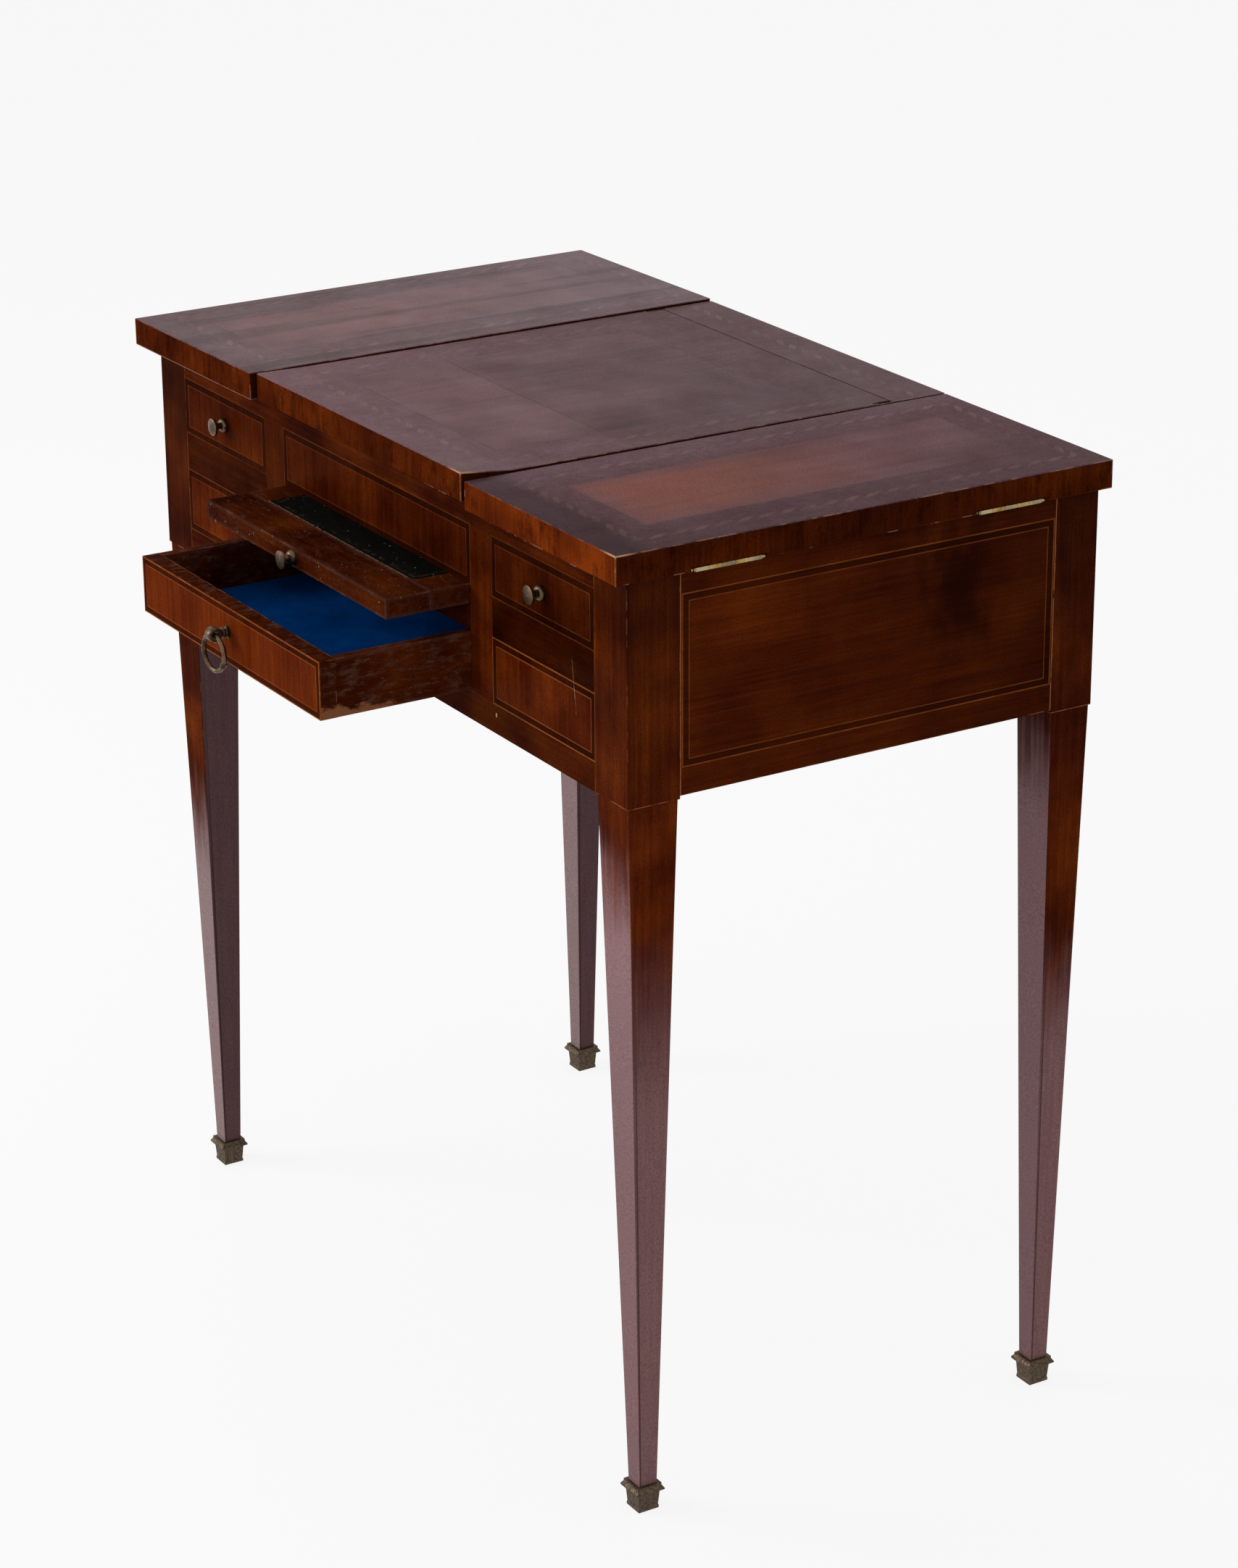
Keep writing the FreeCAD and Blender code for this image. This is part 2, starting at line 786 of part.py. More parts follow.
def drawer_tails():
    """The tails of the right side board, which the front laps over."""
    x0, x1 = drawer_half() - drawer_side_thickness, drawer_half()
    step = drawer_front_height / tail_count
    root = drawer_front + drawer_front_thickness
    tails = []
    for index in range(tail_count):
        middle = drawer_bottom + (index + 1 / 2) * step
        a, b = step * tail_root_share / 2, step * tail_tip_share / 2
        face = outline(along, (root, middle - a), (root - tail_length, middle - b),
                       (root - tail_length, middle + b), (root, middle + a))
        tail = face.extrude(X * (x1 - x0))
        tail.translate(X * x0)
        tails.append(tail)
    return Part.makeCompound(tails)


def drawer_bottom_slab(grow):
    """The space of the drawer's bottom, with its tongues in the grooves."""
    half = drawer_half() - drawer_side_thickness + grow
    low = drawer_bottom + drawer_bottom_lift
    return block(-half, half, drawer_front + drawer_front_thickness - grow, drawer_front + drawer_length,
                 low, low + drawer_bottom_thickness)


def drawer_side():
    """The right side board with its tails and the groove for the bottom."""
    wood = block(drawer_half() - drawer_side_thickness, drawer_half(), drawer_front + drawer_front_thickness,
                 drawer_front + drawer_length, drawer_bottom, drawer_top)
    return wood.fuse(drawer_tails()).cut(drawer_bottom_slab(drawer_groove)).removeSplitter()


def drawer_face():
    """The drawer's front with the sockets for the tails and the groove for the bottom."""
    half = opening_half - drawer_front_gap
    wood = block(-half, half, drawer_front, drawer_front + drawer_front_thickness, drawer_bottom, drawer_top)
    return wood.cut(drawer_bottom_slab(drawer_groove)).cut(Part.makeCompound(both_sides(drawer_tails())))


def drawer_back():
    """The drawer's back, over the bottom and a little lower than the sides."""
    half = drawer_half() - drawer_side_thickness
    low = drawer_bottom + drawer_bottom_lift + drawer_bottom_thickness
    far = drawer_front + drawer_length
    return block(-half, half, far - drawer_back_thickness, far, low, drawer_top - drawer_back_drop)


def drawer_felt():
    half = drawer_half() - drawer_side_thickness
    low = drawer_bottom + drawer_bottom_lift + drawer_bottom_thickness
    return block(-half, half, drawer_front + drawer_front_thickness,
                 drawer_front + drawer_length - drawer_back_thickness, low, low + felt_thickness)


# Small drawers

def small_face():
    """The front of the right small drawer."""
    return block(stile_out + drawer_front_gap, post_inner - drawer_front_gap, front,
                 front + drawer_front_thickness, upper_bottom + drawer_rise, upper_top - drawer_rise)


def small_box():
    """The box behind the right small front: two sides, a back and a bottom between them."""
    x0, x1 = stile_out + drawer_side_gap, post_inner - drawer_side_gap
    y0, y1 = front + drawer_front_thickness, front + small_drawer_length
    low, high = upper_bottom + drawer_rise, upper_top - drawer_rise - small_side_drop
    inner0, inner1 = x0 + small_side_thickness, x1 - small_side_thickness
    floor = low + small_bottom_thickness
    return [block(x0, inner0, y0, y1, low, high), block(inner1, x1, y0, y1, low, high),
            block(inner0, inner1, y1 - small_side_thickness, y1, floor, high),
            block(inner0, inner1, y0, y1, low, floor)]


def build_case():
    for side, hand in ((-1, "left"), (1, "right")):
        for row in ("front", "back"):
            write(f"leg_{row}_{hand}", leg(side, row))
    write("leg_shoes", *[shoe(side, row) for side in (-1, 1) for row in ("front", "back")])
    write("back_panel", back_panel())
    write("front_top_rail", front_board(-post_inner, post_inner, upper_top, case_top))
    write("front_bottom_rail", front_board(-post_inner, post_inner, case_bottom, lower_bottom))
    write("centre_fascia", front_board(-opening_half, opening_half, upper_bottom, upper_top))
    write("slide_rail", front_board(-opening_half, opening_half, blade_bottom, blade_top))
    write("centre_well_floor", centre_well_floor())
    write("slide_bearers", *both_sides(slide_bearer()))
    write("drawer_runners", *both_sides(drawer_runner()))
    runners = small_runner(stile_out, -1) + small_runner(post_inner, 1)
    write("small_drawer_runners", *runners, *[mirrored(runner) for runner in runners])
    write("tray_floors", *both_sides(tray_floor()))
    write("well_walls", *both_sides(well_wall()))
    write("bottom_boards", *both_sides(bottom_board()))
    write("back_strip", back_strip())


def build_sides():
    """Each column's own boards, on the right and mirrored on the left."""
    pieces = {
        "side_panel": side_panel(),
        "partition": partition(),
        "front_stile": front_board(opening_half, stile_out, lower_bottom, upper_top),
        "mid_rail": front_board(stile_out, post_inner, lower_top, upper_bottom),
        "false_front": front_board(stile_out, post_inner, lower_bottom, lower_top),
    }
    for name, piece in pieces.items():
        write(name + "_right", piece)
        write(name + "_left", mirrored(piece))


def build_top():
    leaves = [hinge_lid_half(middle) for middle in hinge_middles()]
    write("lid_right", lid(right_lid_front_overhang))
    write("lid_left", ajar(mirrored(lid(left_lid_front_overhang))))
    write("hinge_lid_leaves_right", *leaves)
    write("hinge_lid_leaves_left", *[ajar(mirrored(leaf)) for leaf in leaves])
    halves = {
        "hinge_case_leaves": [hinge_case_half(middle) for middle in hinge_middles()],
        "hinge_pins": [hinge_pin(middle) for middle in hinge_middles()],
    }
    for name, shapes in halves.items():
        write(name + "_right", *shapes)
        write(name + "_left", *[mirrored(shape) for shape in shapes])
    write("mirror_flap", flap())
    write("mirror_glass", mirror_glass())
    write("mirror_frame", *mirror_frame())
    write("flap_hinge_fixed_plates", *both_sides(knife_fixed_plate()))
    write("flap_hinge_moving_plates", *both_sides(knife_moving_plate()))


def build_slide():
    write("slide_board", slide_board())
    write("slide_cleat", slide_cleat())
    write("slide_leather", slide_leather())
    write("slide_knob", knob(0, slide_front, (slide_top + slide_bottom) / 2))


def build_drawers():
    write("drawer_front", drawer_face())
    write("drawer_side_right", drawer_side())
    write("drawer_side_left", mirrored(drawer_side()))
    write("drawer_back", drawer_back())
    write("drawer_bottom", drawer_bottom_slab(drawer_groove))
    write("drawer_felt", drawer_felt())
    write("pull_stem", pull_stem())
    write("pull_ring", pull_ring())
    small = {"front": [small_face()], "box": small_box(), "knob": [knob(small_middle, front, upper_middle)]}
    for name, shapes in small.items():
        write("small_drawer_right_" + name, *shapes)
        write("small_drawer_left_" + name, *[mirrored(shape) for shape in shapes])


def main():
    os.makedirs("parts", exist_ok=True)
    build_case()
    build_sides()
    build_top()
    build_slide()
    build_drawers()


main()
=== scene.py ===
# %% [markdown]
# # A mahogany dressing table, finished in Blender
# The table comes ready built: every board, hinge and knob is a piece of its own, at its real size.
# This lesson gives each piece its surface, adds what is soft or very small, and sets up a plain studio.
# All lengths in Blender are metres. A length in millimetres is written as a number times MM.

# %% Load the table
import bmesh
import bpy
import math
from mathutils import Matrix, Vector
from types import SimpleNamespace

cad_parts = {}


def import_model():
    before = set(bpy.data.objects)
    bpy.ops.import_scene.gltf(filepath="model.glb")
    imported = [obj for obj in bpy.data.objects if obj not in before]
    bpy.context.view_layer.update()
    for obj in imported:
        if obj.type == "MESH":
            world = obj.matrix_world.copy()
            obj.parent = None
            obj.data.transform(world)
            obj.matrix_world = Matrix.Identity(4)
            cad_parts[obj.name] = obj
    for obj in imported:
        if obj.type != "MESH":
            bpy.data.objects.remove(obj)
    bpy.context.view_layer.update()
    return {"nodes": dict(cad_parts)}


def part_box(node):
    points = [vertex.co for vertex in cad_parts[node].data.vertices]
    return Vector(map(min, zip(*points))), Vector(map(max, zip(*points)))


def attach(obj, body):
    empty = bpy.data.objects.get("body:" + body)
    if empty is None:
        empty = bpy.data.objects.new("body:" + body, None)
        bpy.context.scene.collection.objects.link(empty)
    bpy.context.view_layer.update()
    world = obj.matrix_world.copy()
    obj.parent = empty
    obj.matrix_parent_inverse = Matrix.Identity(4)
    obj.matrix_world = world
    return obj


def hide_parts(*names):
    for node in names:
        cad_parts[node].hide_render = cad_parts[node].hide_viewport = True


MM = 0.001
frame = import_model()
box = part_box
print("pieces of the table:", len(frame["nodes"]))

# %% [markdown]
# ## The view
# The table is seen from its front right, a little from above, from about three metres away.
# A long lens keeps the legs nearly parallel. The camera is turned by three plain angles: round the
# table, down towards it, and a very slight roll, because the camera was not quite level.

# %% The camera
CAMERA_PLACE = Vector((2.70999, -1.57346, 1.66789))
CAMERA_ROUND = 58.545
CAMERA_DOWN = 21.204
CAMERA_ROLL = -0.342
LENS = 95.78
SENSOR_WIDTH = 36
camera = bpy.data.objects.new("camera", bpy.data.cameras.new("camera"))
bpy.context.collection.objects.link(camera)
turn_round = Matrix.Rotation(math.radians(CAMERA_ROUND), 4, "Z")
tilt = Matrix.Rotation(math.radians(90 - CAMERA_DOWN), 4, "X")
roll = Matrix.Rotation(math.radians(CAMERA_ROLL), 4, "Z")
camera.matrix_world = Matrix.Translation(CAMERA_PLACE) @ turn_round @ tilt @ roll
camera.data.lens = LENS
camera.data.sensor_width = SENSOR_WIDTH
bpy.context.scene.camera = camera
bpy.context.scene.view_settings.view_transform = "Standard"
print("camera:", round(CAMERA_PLACE.length, 2), "m from the floor's middle")

# %% [markdown]
# ## Sums on surfaces
# A finish is a picture worked out from places on the piece: how far a point is from an edge, which
# way the grain runs, where a line of inlay lies. Blender does such sums with Math nodes. The small
# class below wraps a socket, so that an ordinary expression such as `1 - mask * 0.5` adds those nodes.

# %% A socket that can be reckoned with
class Value:
    def __init__(self, tree, socket):
        self.tree = tree
        self.socket = socket

    def sum(self, operation, *values):
        return self.tree.node("Math", {"operation": operation}, dict(enumerate(values)))

    def __add__(self, other):
        return self.sum("ADD", self, other)

    def __sub__(self, other):
        return self.sum("SUBTRACT", self, other)

    def __rsub__(self, other):
        return self.sum("SUBTRACT", other, self)

    def __mul__(self, other):
        return self.sum("MULTIPLY", self, other)

    def __truediv__(self, other):
        return self.sum("DIVIDE", self, other)

    def __neg__(self):
        return self * -1

    def __abs__(self):
        return self.sum("ABSOLUTE", self)

    __radd__ = __add__
    __rmul__ = __mul__

    def least(self, other):
        return self.sum("MINIMUM", self, other)

    def most(self, other):
        return self.sum("MAXIMUM", self, other)

    def repeat(self, length):
        return self.sum("WRAP", self, length, 0)

    def step(self, low, high):
        """0 below the first level and 1 above the second, with a soft rise between."""
        levels = {"Value": self, "From Min": low, "From Max": high}
        return self.tree.node("MapRange", {"interpolation_type": "SMOOTHSTEP"}, levels)

    def near(self, place, half_width, soft=0.25 * MM):
        """1 within half a width of a place, and 0 beyond."""
        return 1 - abs(self - place).step(half_width, half_width + soft)

    def within(self, low, high, soft=0.3 * MM):
        """1 between two places, and 0 beyond."""
        return self.step(low - soft, low) * (1 - self.step(high, high + soft))

    def beyond(self, low, high):
        """How far outside two places a point lies, less than nought between them."""
        return abs(self - (low + high) / 2) - (high - low) / 2


print("sums on a socket:", ", ".join(name for name in vars(Value) if name[0] != "_"))

# %% [markdown]
# Every node is added by one method, `node`: its settings first, then its sockets, each given a number,
# a colour or a `Value`. The class empties a tree and adds to it, so it serves the world as well as a
# material. Where a node has several sockets of one name, the one in use is picked.

# %% A tree of nodes
def pick(sockets, key):
    if isinstance(key, int):
        return sockets[key]
    return next(socket for socket in sockets if socket.name == key and socket.enabled)


def set_stops(ramp, stops):
    """Gives a colour ramp its places and colours."""
    while len(ramp.elements) < len(stops):
        ramp.elements.new(1)
    for element, (place, colour) in zip(ramp.elements, stops):
        element.position = place
        element.color = (*colour, 1)


class Tree:
    def __init__(self, graph):
        self.graph = graph
        graph.nodes.clear()

    def node(self, kind, settings=None, inputs=None, output=0):
        made = self.graph.nodes.new("ShaderNode" + kind)
        for name, value in (settings or {}).items():
            if name == "stops":
                set_stops(made.color_ramp, value)
            else:
                setattr(made, name, value)
        for key, value in (inputs or {}).items():
            socket = pick(made.inputs, key)
            if isinstance(value, Value):
                self.graph.links.new(value.socket, socket)
            else:
                socket.default_value = value
        return Value(self, pick(made.outputs, output)) if made.outputs else None


print("kinds of shader node to choose from:", sum(name.startswith("ShaderNode") for name in dir(bpy.types)))

# %% [markdown]
# A finish is one material. Places are read from Object coordinates, which stay with a piece when it
# moves, so the inlay of a lid travels with the lid. Colours are mixed and shaded by colour and vector
# nodes, because a Math node would turn them grey.

# %% A finish
def solid(colour):
    return colour if isinstance(colour, Value) else (*colour, 1)


class Finish(Tree):
    def __init__(self, name):
        self.material = bpy.data.materials.new(name)
        self.material.use_nodes = True
        super().__init__(self.material.node_tree)
        self.place = self.node("TexCoord", output="Object")
        self.x, self.y, self.z = [self.node("SeparateXYZ", {}, {0: self.place}, axis) for axis in "XYZ"]

    def noise(self, scale, detail=2.0, roughness=0.5, shift=0.0):
        """Cloudy noise from 0 to 1; scale is a number or three, in features per metre."""
        scales = (scale,) * 3 if isinstance(scale, (int, float)) else scale
        place = self.node("Mapping", {}, {"Vector": self.place, "Scale": scales, "Location": (shift,) * 3})
        levels = {"Vector": place, "Scale": 1.0, "Detail": detail, "Roughness": roughness}
        return self.node("TexNoise", {"normalize": True}, levels)

    def ramp(self, value, *stops):
        return self.node("ValToRGB", {"stops": stops}, {0: value})

    def paint(self, under, over, mask):
        """A colour laid over another where the mask is 1."""
        sides = {"Factor": mask, "A": solid(under), "B": solid(over)}
        return self.node("Mix", {"data_type": "RGBA", "clamp_factor": True}, sides, "Result")

    def shade(self, colour, value):
        """A colour made darker or lighter by a value round 1."""
        return self.node("VectorMath", {"operation": "SCALE"}, {0: colour, "Scale": value})

    def bump(self, height, distance):
        return self.node("Bump", {}, {"Height": height, "Distance": distance, "Strength": 1.0})

    def close(self, colour, **sockets):
        """Ends the material with its surface."""
        inputs = {name.replace("_", " "): value for name, value in sockets.items()}
        surface = self.node("BsdfPrincipled", {}, {"Base Color": solid(colour), **inputs})
        self.node("OutputMaterial", {}, {"Surface": surface})
        return self.material


def dress(names, material):
    """Gives the table's own pieces a material."""
    for name in names:
        slots = frame["nodes"][name].data.materials
        slots.clear()
        slots.append(material)
    print(material.name, "on", len(names), "pieces, from", len(material.node_tree.nodes), "nodes")


print("steps of a finish:", ", ".join(name for name in vars(Finish) if name[0] != "_"))

# %% [markdown]
# ## Mahogany
# The show wood is mahogany veneer under old polish. Seen close it has three things at once: fine
# dark pores that run along the grain, ribbons of lighter and darker wood some ten millimetres wide,
# and slow clouds where the polish has gone darker. Each is a noise stretched along the grain: its
# scale is large across the grain, so that it changes quickly there, and small along it.

# %% Grain
# Features per metre across the grain and along it, and the share that each has in the tone.
RIBBONS, RIBBON_SHARE = (70, 3), 0.13
STREAKS, STREAK_SHARE = (300, 9), 0.24
CLOUDS, CLOUD_SHARE = 14, 0.63
PORES, PORE_SHARE = (1900, 90), 0.4


def along_grain(axis, across, along):
    """Noise scales that are fine across the grain and slow along it."""
    return tuple(along if part == axis else across for part in "xyz")


def grain(finish, axis, shift=0.0, even=0.0):
    """The wood's tone from 0, dark, to 1, light; even takes its clouds away."""
    ribbon = finish.noise(along_grain(axis, *RIBBONS), 2.0, 0.55, shift)
    streak = finish.noise(along_grain(axis, *STREAKS), 3.0, 0.65, shift + 3)
    cloud = (finish.noise(CLOUDS, 3.0, 0.55, shift + 7) - 0.5) * (1 - even) + 0.5
    return ribbon * RIBBON_SHARE + streak * STREAK_SHARE + cloud * CLOUD_SHARE


def pores(finish, axis, shift=0.0):
    """1 in the short dark pores of the wood."""
    return finish.noise(along_grain(axis, *PORES), 1.0, 0.5, shift + 11).step(0.63, 0.7)


print("grain: ribbons about", round(1000 / RIBBONS[0]), "mm wide, pores about",
      round(1000 / PORES[0], 1), "mm wide and", round(1000 / PORES[1]), "mm long")

# %% [markdown]
# The tone picks a colour on a ramp from nearly black red to orange brown. The colours are very dark,
# because wood under dark old polish gives back only a twentieth of the light. A last fine noise makes
# the colour a little uneven from one millimetre to the next, as a real surface is.

# %% The colour of mahogany
WOOD_DEEP = (0.0125, 0.0015, 0.0005)
WOOD_DARK = (0.030, 0.0037, 0.0006)
WOOD_MIDDLE = (0.054, 0.0081, 0.0009)
WOOD_LIGHT = (0.098, 0.0175, 0.0014)
WOOD_STOPS = (0.3, WOOD_DEEP), (0.42, WOOD_DARK), (0.52, WOOD_MIDDLE), (0.66, WOOD_LIGHT)


def flecked(finish, colour, shift=0.0):
    """Uneven by a few parts in ten from one millimetre to the next."""
    return finish.shade(colour, finish.noise(700, 2.0, 0.7, shift + 15) * 1.3 + 0.35)


def mahogany(finish, axis, shift=0.0, even=0.0):
    """The colour of bare polished wood."""
    colour = finish.ramp(grain(finish, axis, shift, even), *WOOD_STOPS)
    colour = finish.paint(colour, WOOD_DEEP, pores(finish, axis, shift) * PORE_SHARE)
    return flecked(finish, colour, shift)


print("the lightest wood is", round(WOOD_LIGHT[0] / WOOD_DEEP[0]), "times as bright as the darkest")

# %% [markdown]
# ## Wear on the edges
# Two hundred years of hands have rubbed the polish off the sharp edges, which show as thin broken
# lines of pale wood. For a squared board the distance to the nearest edge is easy to work out. A point
# on its surface has three distances, to the nearest face along each axis. The least is nought, and the
# middle one of the three is the distance to the nearest edge.

# %% Rubbed edges
BARE_WOOD = (0.33, 0.125, 0.052)


def to_edge(finish, low, high):
    """The distance from a point of a squared board's surface to its nearest edge."""
    places = zip((finish.x, finish.y, finish.z), low, high)
    a, b, c = [-place.beyond(near, far) for place, near, far in places]
    return a.least(b).most(a.most(b).least(c))


def worn(finish, distance, width, amount, shift=0.0):
    """1 on the rubbed parts of an edge, in broken lengths."""
    breaks = finish.noise(55, 3.0, 0.65, shift + 21).step(0.62 - amount * 0.3, 0.68 - amount * 0.22)
    ragged = finish.noise(420, 2.0, 0.6, shift + 5)
    return (1 - distance.step(width * 0.45, width)) * breaks * (0.35 + ragged)


print("bare wood is", round(BARE_WOOD[0] / WOOD_MIDDLE[0], 1), "times as bright as polished wood")

# %% [markdown]
# ## Stringing
# The fronts and the end panels are framed by two fine lines of pale wood with a darker band between
# them. The cabinet maker cuts a groove and glues in strips of boxwood. Here the distance to the
# rectangle's outline gives the same: the outer line lies just outside it, the band just inside, and
# the inner line at the far side of the band. Polish and dirt hide the lines in places, so noise
# fades them.

# %% Lines round a rectangle
LINE = 1.0 * MM
BAND = 4.6 * MM
STRING = (0.30, 0.083, 0.015)
BAND_WOOD = (0.010, 0.0018, 0.0007)


def to_outline(a, b, rectangle):
    """Distance to a rectangle's outline, less than nought inside."""
    low_a, high_a, low_b, high_b = rectangle
    return a.beyond(low_a, high_a).most(b.beyond(low_b, high_b))


def stringing(finish, colour, distance, strength=0.8, band=BAND, shift=0.0, where=1.0, dark=0.7):
    """Draws the outer line, the dark band and the inner line."""
    faded = finish.noise(48, 3.0, 0.6, shift + 31).step(0.3, 0.62) * 0.5 + 0.5
    outer = distance.near(LINE * 0.5, LINE * 0.4)
    inner = distance.near(-band - LINE * 0.5, LINE * 0.3) * 0.75
    colour = finish.paint(colour, BAND_WOOD, distance.within(-band, 0) * dark * where)
    return finish.paint(colour, STRING, outer.most(inner) * faded * strength * where)


print("a frame of lines is", round((LINE * 2 + BAND) / MM, 1), "mm wide")

# %% [markdown]
# ## Polish
# Old shellac is neither glossy nor matt. It shows a soft sheen, a little uneven where it was rubbed,
# and it sinks into the pores. So the wood itself has no gloss, a thin rough coat lies over it, and
# a fine noise along the grain gives a very low relief.

# %% Close a wood surface
UNDER_POLISH = 0.0
POLISH_BLUR = 0.24
PORE_RELIEF = 0.06 * MM


def polished(finish, colour, axis, rough=0.5, polish=0.02, shift=0.0):
    """Ends a wood finish: a coat of polish over the wood, with the pores in low relief."""
    haze = finish.noise(31, 3.0, 0.6, shift + 41)
    fine = finish.noise(along_grain(axis, 900, 40), 2.0, 0.6, shift + 13)
    return finish.close(colour, Roughness=haze * 0.22 + (rough - 0.11), Specular_IOR_Level=UNDER_POLISH,
                        Coat_Weight=polish, Coat_Roughness=POLISH_BLUR,
                        Normal=finish.bump(fine, PORE_RELIEF))


print("the relief of the pores is", PORE_RELIEF / MM, "mm")

# %% [markdown]
# ## The front of the case
# All the front boards lie in one plane and share one drawing: five framed fields, which are the two
# small drawers, the two fixed fronts below them and the long fascia. Rails and stiles show the outer
# lines and the fronts show the band and the inner lines, so one drawing runs true across every joint.

# %% The drawing on the front
post_box = box("leg_front_right")
case_low = Vector((-post_box[1].x, post_box[0].y, box("front_bottom_rail")[0].z))
case_high = Vector((post_box[1].x, box("leg_back_right")[1].y, box("front_top_rail")[1].z))
# How far behind the front a point no longer counts as on it: from the first length to the second.
FACE_ENDS = 0.5 * MM, 0.8 * MM
# How strongly the lines of each field still show.
FRONT_FIELDS = {"small_drawer_left_front": 0.26, "small_drawer_right_front": 0.3, "false_front_left": 0.32,
                "false_front_right": 0.95, "centre_fascia": 0.25}


def field(name):
    """A front piece's outline as left, right, low and high."""
    low, high = box(name)
    return low.x, high.x, low.z, high.z


def facing_front(finish, front):
    """1 on a board's face to the front, and 0 on its other faces."""
    return 1 - finish.y.step(front + FACE_ENDS[0], front + FACE_ENDS[1])


def front_face(finish, colour, name):
    """Draws the fields that a board touches on its face to the front."""
    facing = facing_front(finish, case_low.y)
    low, high = box(name)
    for other, strength in FRONT_FIELDS.items():
        left, right, bottom, top = rectangle = field(other)
        beside = left < high.x + BAND and right > low.x - BAND
        if beside and bottom < high.z + BAND and top > low.z - BAND:
            distance = to_outline(finish.x, finish.z, rectangle)
            colour = stringing(finish, colour, distance, strength, where=facing)
    return marks(finish, colour, facing)


print("the front is", round(case_high.x - case_low.x, 3), "m wide, with", len(FRONT_FIELDS), "fields")

# %% [markdown]
# Two marks of use belong to the whole front: a small chip in the bottom rail, and a long fine scratch
# over the right fronts. The scratch is a line a little out of plumb, strongest at one knot in it. As
# they are drawn by their place on the case, they too run over the joints.

# %% The chip and the scratch
CHIP_X, CHIP_Z, CHIP_SLENDER = 185.0 * MM, 596.4 * MM, 1.9
CHIP_RIM = 1.1 * MM, 2.0 * MM
CHIP_WOOD = (0.62, 0.42, 0.2)
SCRATCH_X, SCRATCH_LOW, SCRATCH_HIGH, SCRATCH_LEAN = 295.1 * MM, 632.9 * MM, 673.2 * MM, -0.13
SCRATCH_RIM = 0.1 * MM, 0.45 * MM
SCRATCH_KNOT, KNOT_RIM = 649.0 * MM, (2 * MM, 6 * MM)
SCRATCH_WOOD = (0.50, 0.28, 0.14)


def marks(finish, colour, facing):
    away = (abs(finish.x - CHIP_X) * CHIP_SLENDER).most(abs(finish.z - CHIP_Z))
    chip = 1 - away.step(*CHIP_RIM)
    line = abs(finish.x - SCRATCH_X + (SCRATCH_HIGH - finish.z) * SCRATCH_LEAN)
    knot = 1 - abs(finish.z - SCRATCH_KNOT).step(*KNOT_RIM)
    uneven = finish.noise(160, 2.0, 0.5, 33).step(0.3, 0.6) * 0.7 + 0.3
    length = finish.z.within(SCRATCH_LOW, SCRATCH_HIGH)
    scratch = (1 - line.step(*SCRATCH_RIM)) * (knot * 0.7 + 0.3) * length * uneven
    colour = finish.paint(colour, CHIP_WOOD, chip * facing)
    return finish.paint(colour, SCRATCH_WOOD, scratch * facing)


print("the scratch is", round((SCRATCH_HIGH - SCRATCH_LOW) / MM), "mm long")

# %% [markdown]
# Each board is cut from another plank, so each gets its own shift of the noise and its own depth of
# colour. The upright boards have upright grain, and the long rails have level grain. The joints with
# the posts have opened by a hair, which shows as a broken pale line.

# %% The front boards
POST_INNER = post_box[0].x
JOINT_WIDTH = 0.8 * MM
# Name, run of the grain, shift, depth of colour, and its depth at the top where that differs, which paints
# light and shade from the bottom to the top.
FRONT_BOARDS = [("front_top_rail", "x", 1.0, 1.1), ("front_bottom_rail", "x", 2.0, 1.1),
                ("front_stile_left", "z", 3.0, 0.8), ("front_stile_right", "z", 4.0, 2.3, 0.8),
                ("mid_rail_left", "x", 5.0, 0.6), ("mid_rail_right", "x", 6.0, 0.5),
                ("slide_rail", "x", 7.0, 0.7), ("centre_fascia", "z", 8.0, 1.1),
                ("false_front_left", "z", 9.0, 1.6), ("false_front_right", "z", 10.0, 1.85),
                ("small_drawer_left_front", "z", 11.0, 1.15),
                ("small_drawer_right_front", "z", 12.0, 0.65, 1.15)]


def front_board(name, axis, shift, depth, painted_light_top_depth=None):
    finish = Finish("veneer_" + name)
    low, high = box(name)
    up = (finish.z - low.z) / (high.z - low.z)
    # Where a depth at the top is given, the board is painted lighter at one end and darker at the other:
    # painted light and shade.
    level = depth if painted_light_top_depth is None else up * (painted_light_top_depth - depth) + depth
    colour = finish.shade(mahogany(finish, axis, shift), level)
    colour = front_face(finish, colour, name)
    joint = POST_INNER - abs(finish.x)
    colour = finish.paint(colour, STRING, worn(finish, joint, JOINT_WIDTH, 0.8, shift) * 0.35)
    dress([name], polished(finish, colour, axis, shift=shift))


for board in FRONT_BOARDS:
    front_board(*board)

# %% [markdown]
# ## The end panels
# The end boards are framed the same way, with level grain, and their veneer has a dark patch high up
# towards the back. Their upright joints with the posts have opened a little and the polish is gone
# along them, which shows as a thin pale line.

# %% The end panels
PANEL_INSET, PANEL_UNDER, PANEL_OVER = 2.5 * MM, 22.0 * MM, 19.0 * MM
STAIN_Y, STAIN_Z = case_low.y + 283 * MM, 700 * MM
STAIN_RIM, STAIN_RAGGED = (8 * MM, 34 * MM), 60 * MM
PANEL_SHIFT = 20.0


def old_stain(finish):
    """1 in the dark patch."""
    away = (abs(finish.y - STAIN_Y) * 0.9).most(abs(finish.z - STAIN_Z) * 0.55)
    ragged = (finish.noise((30, 40, 22), 3.0, 0.6, 24) - 0.5) * STAIN_RAGGED
    return 1 - (away + ragged).step(*STAIN_RIM)


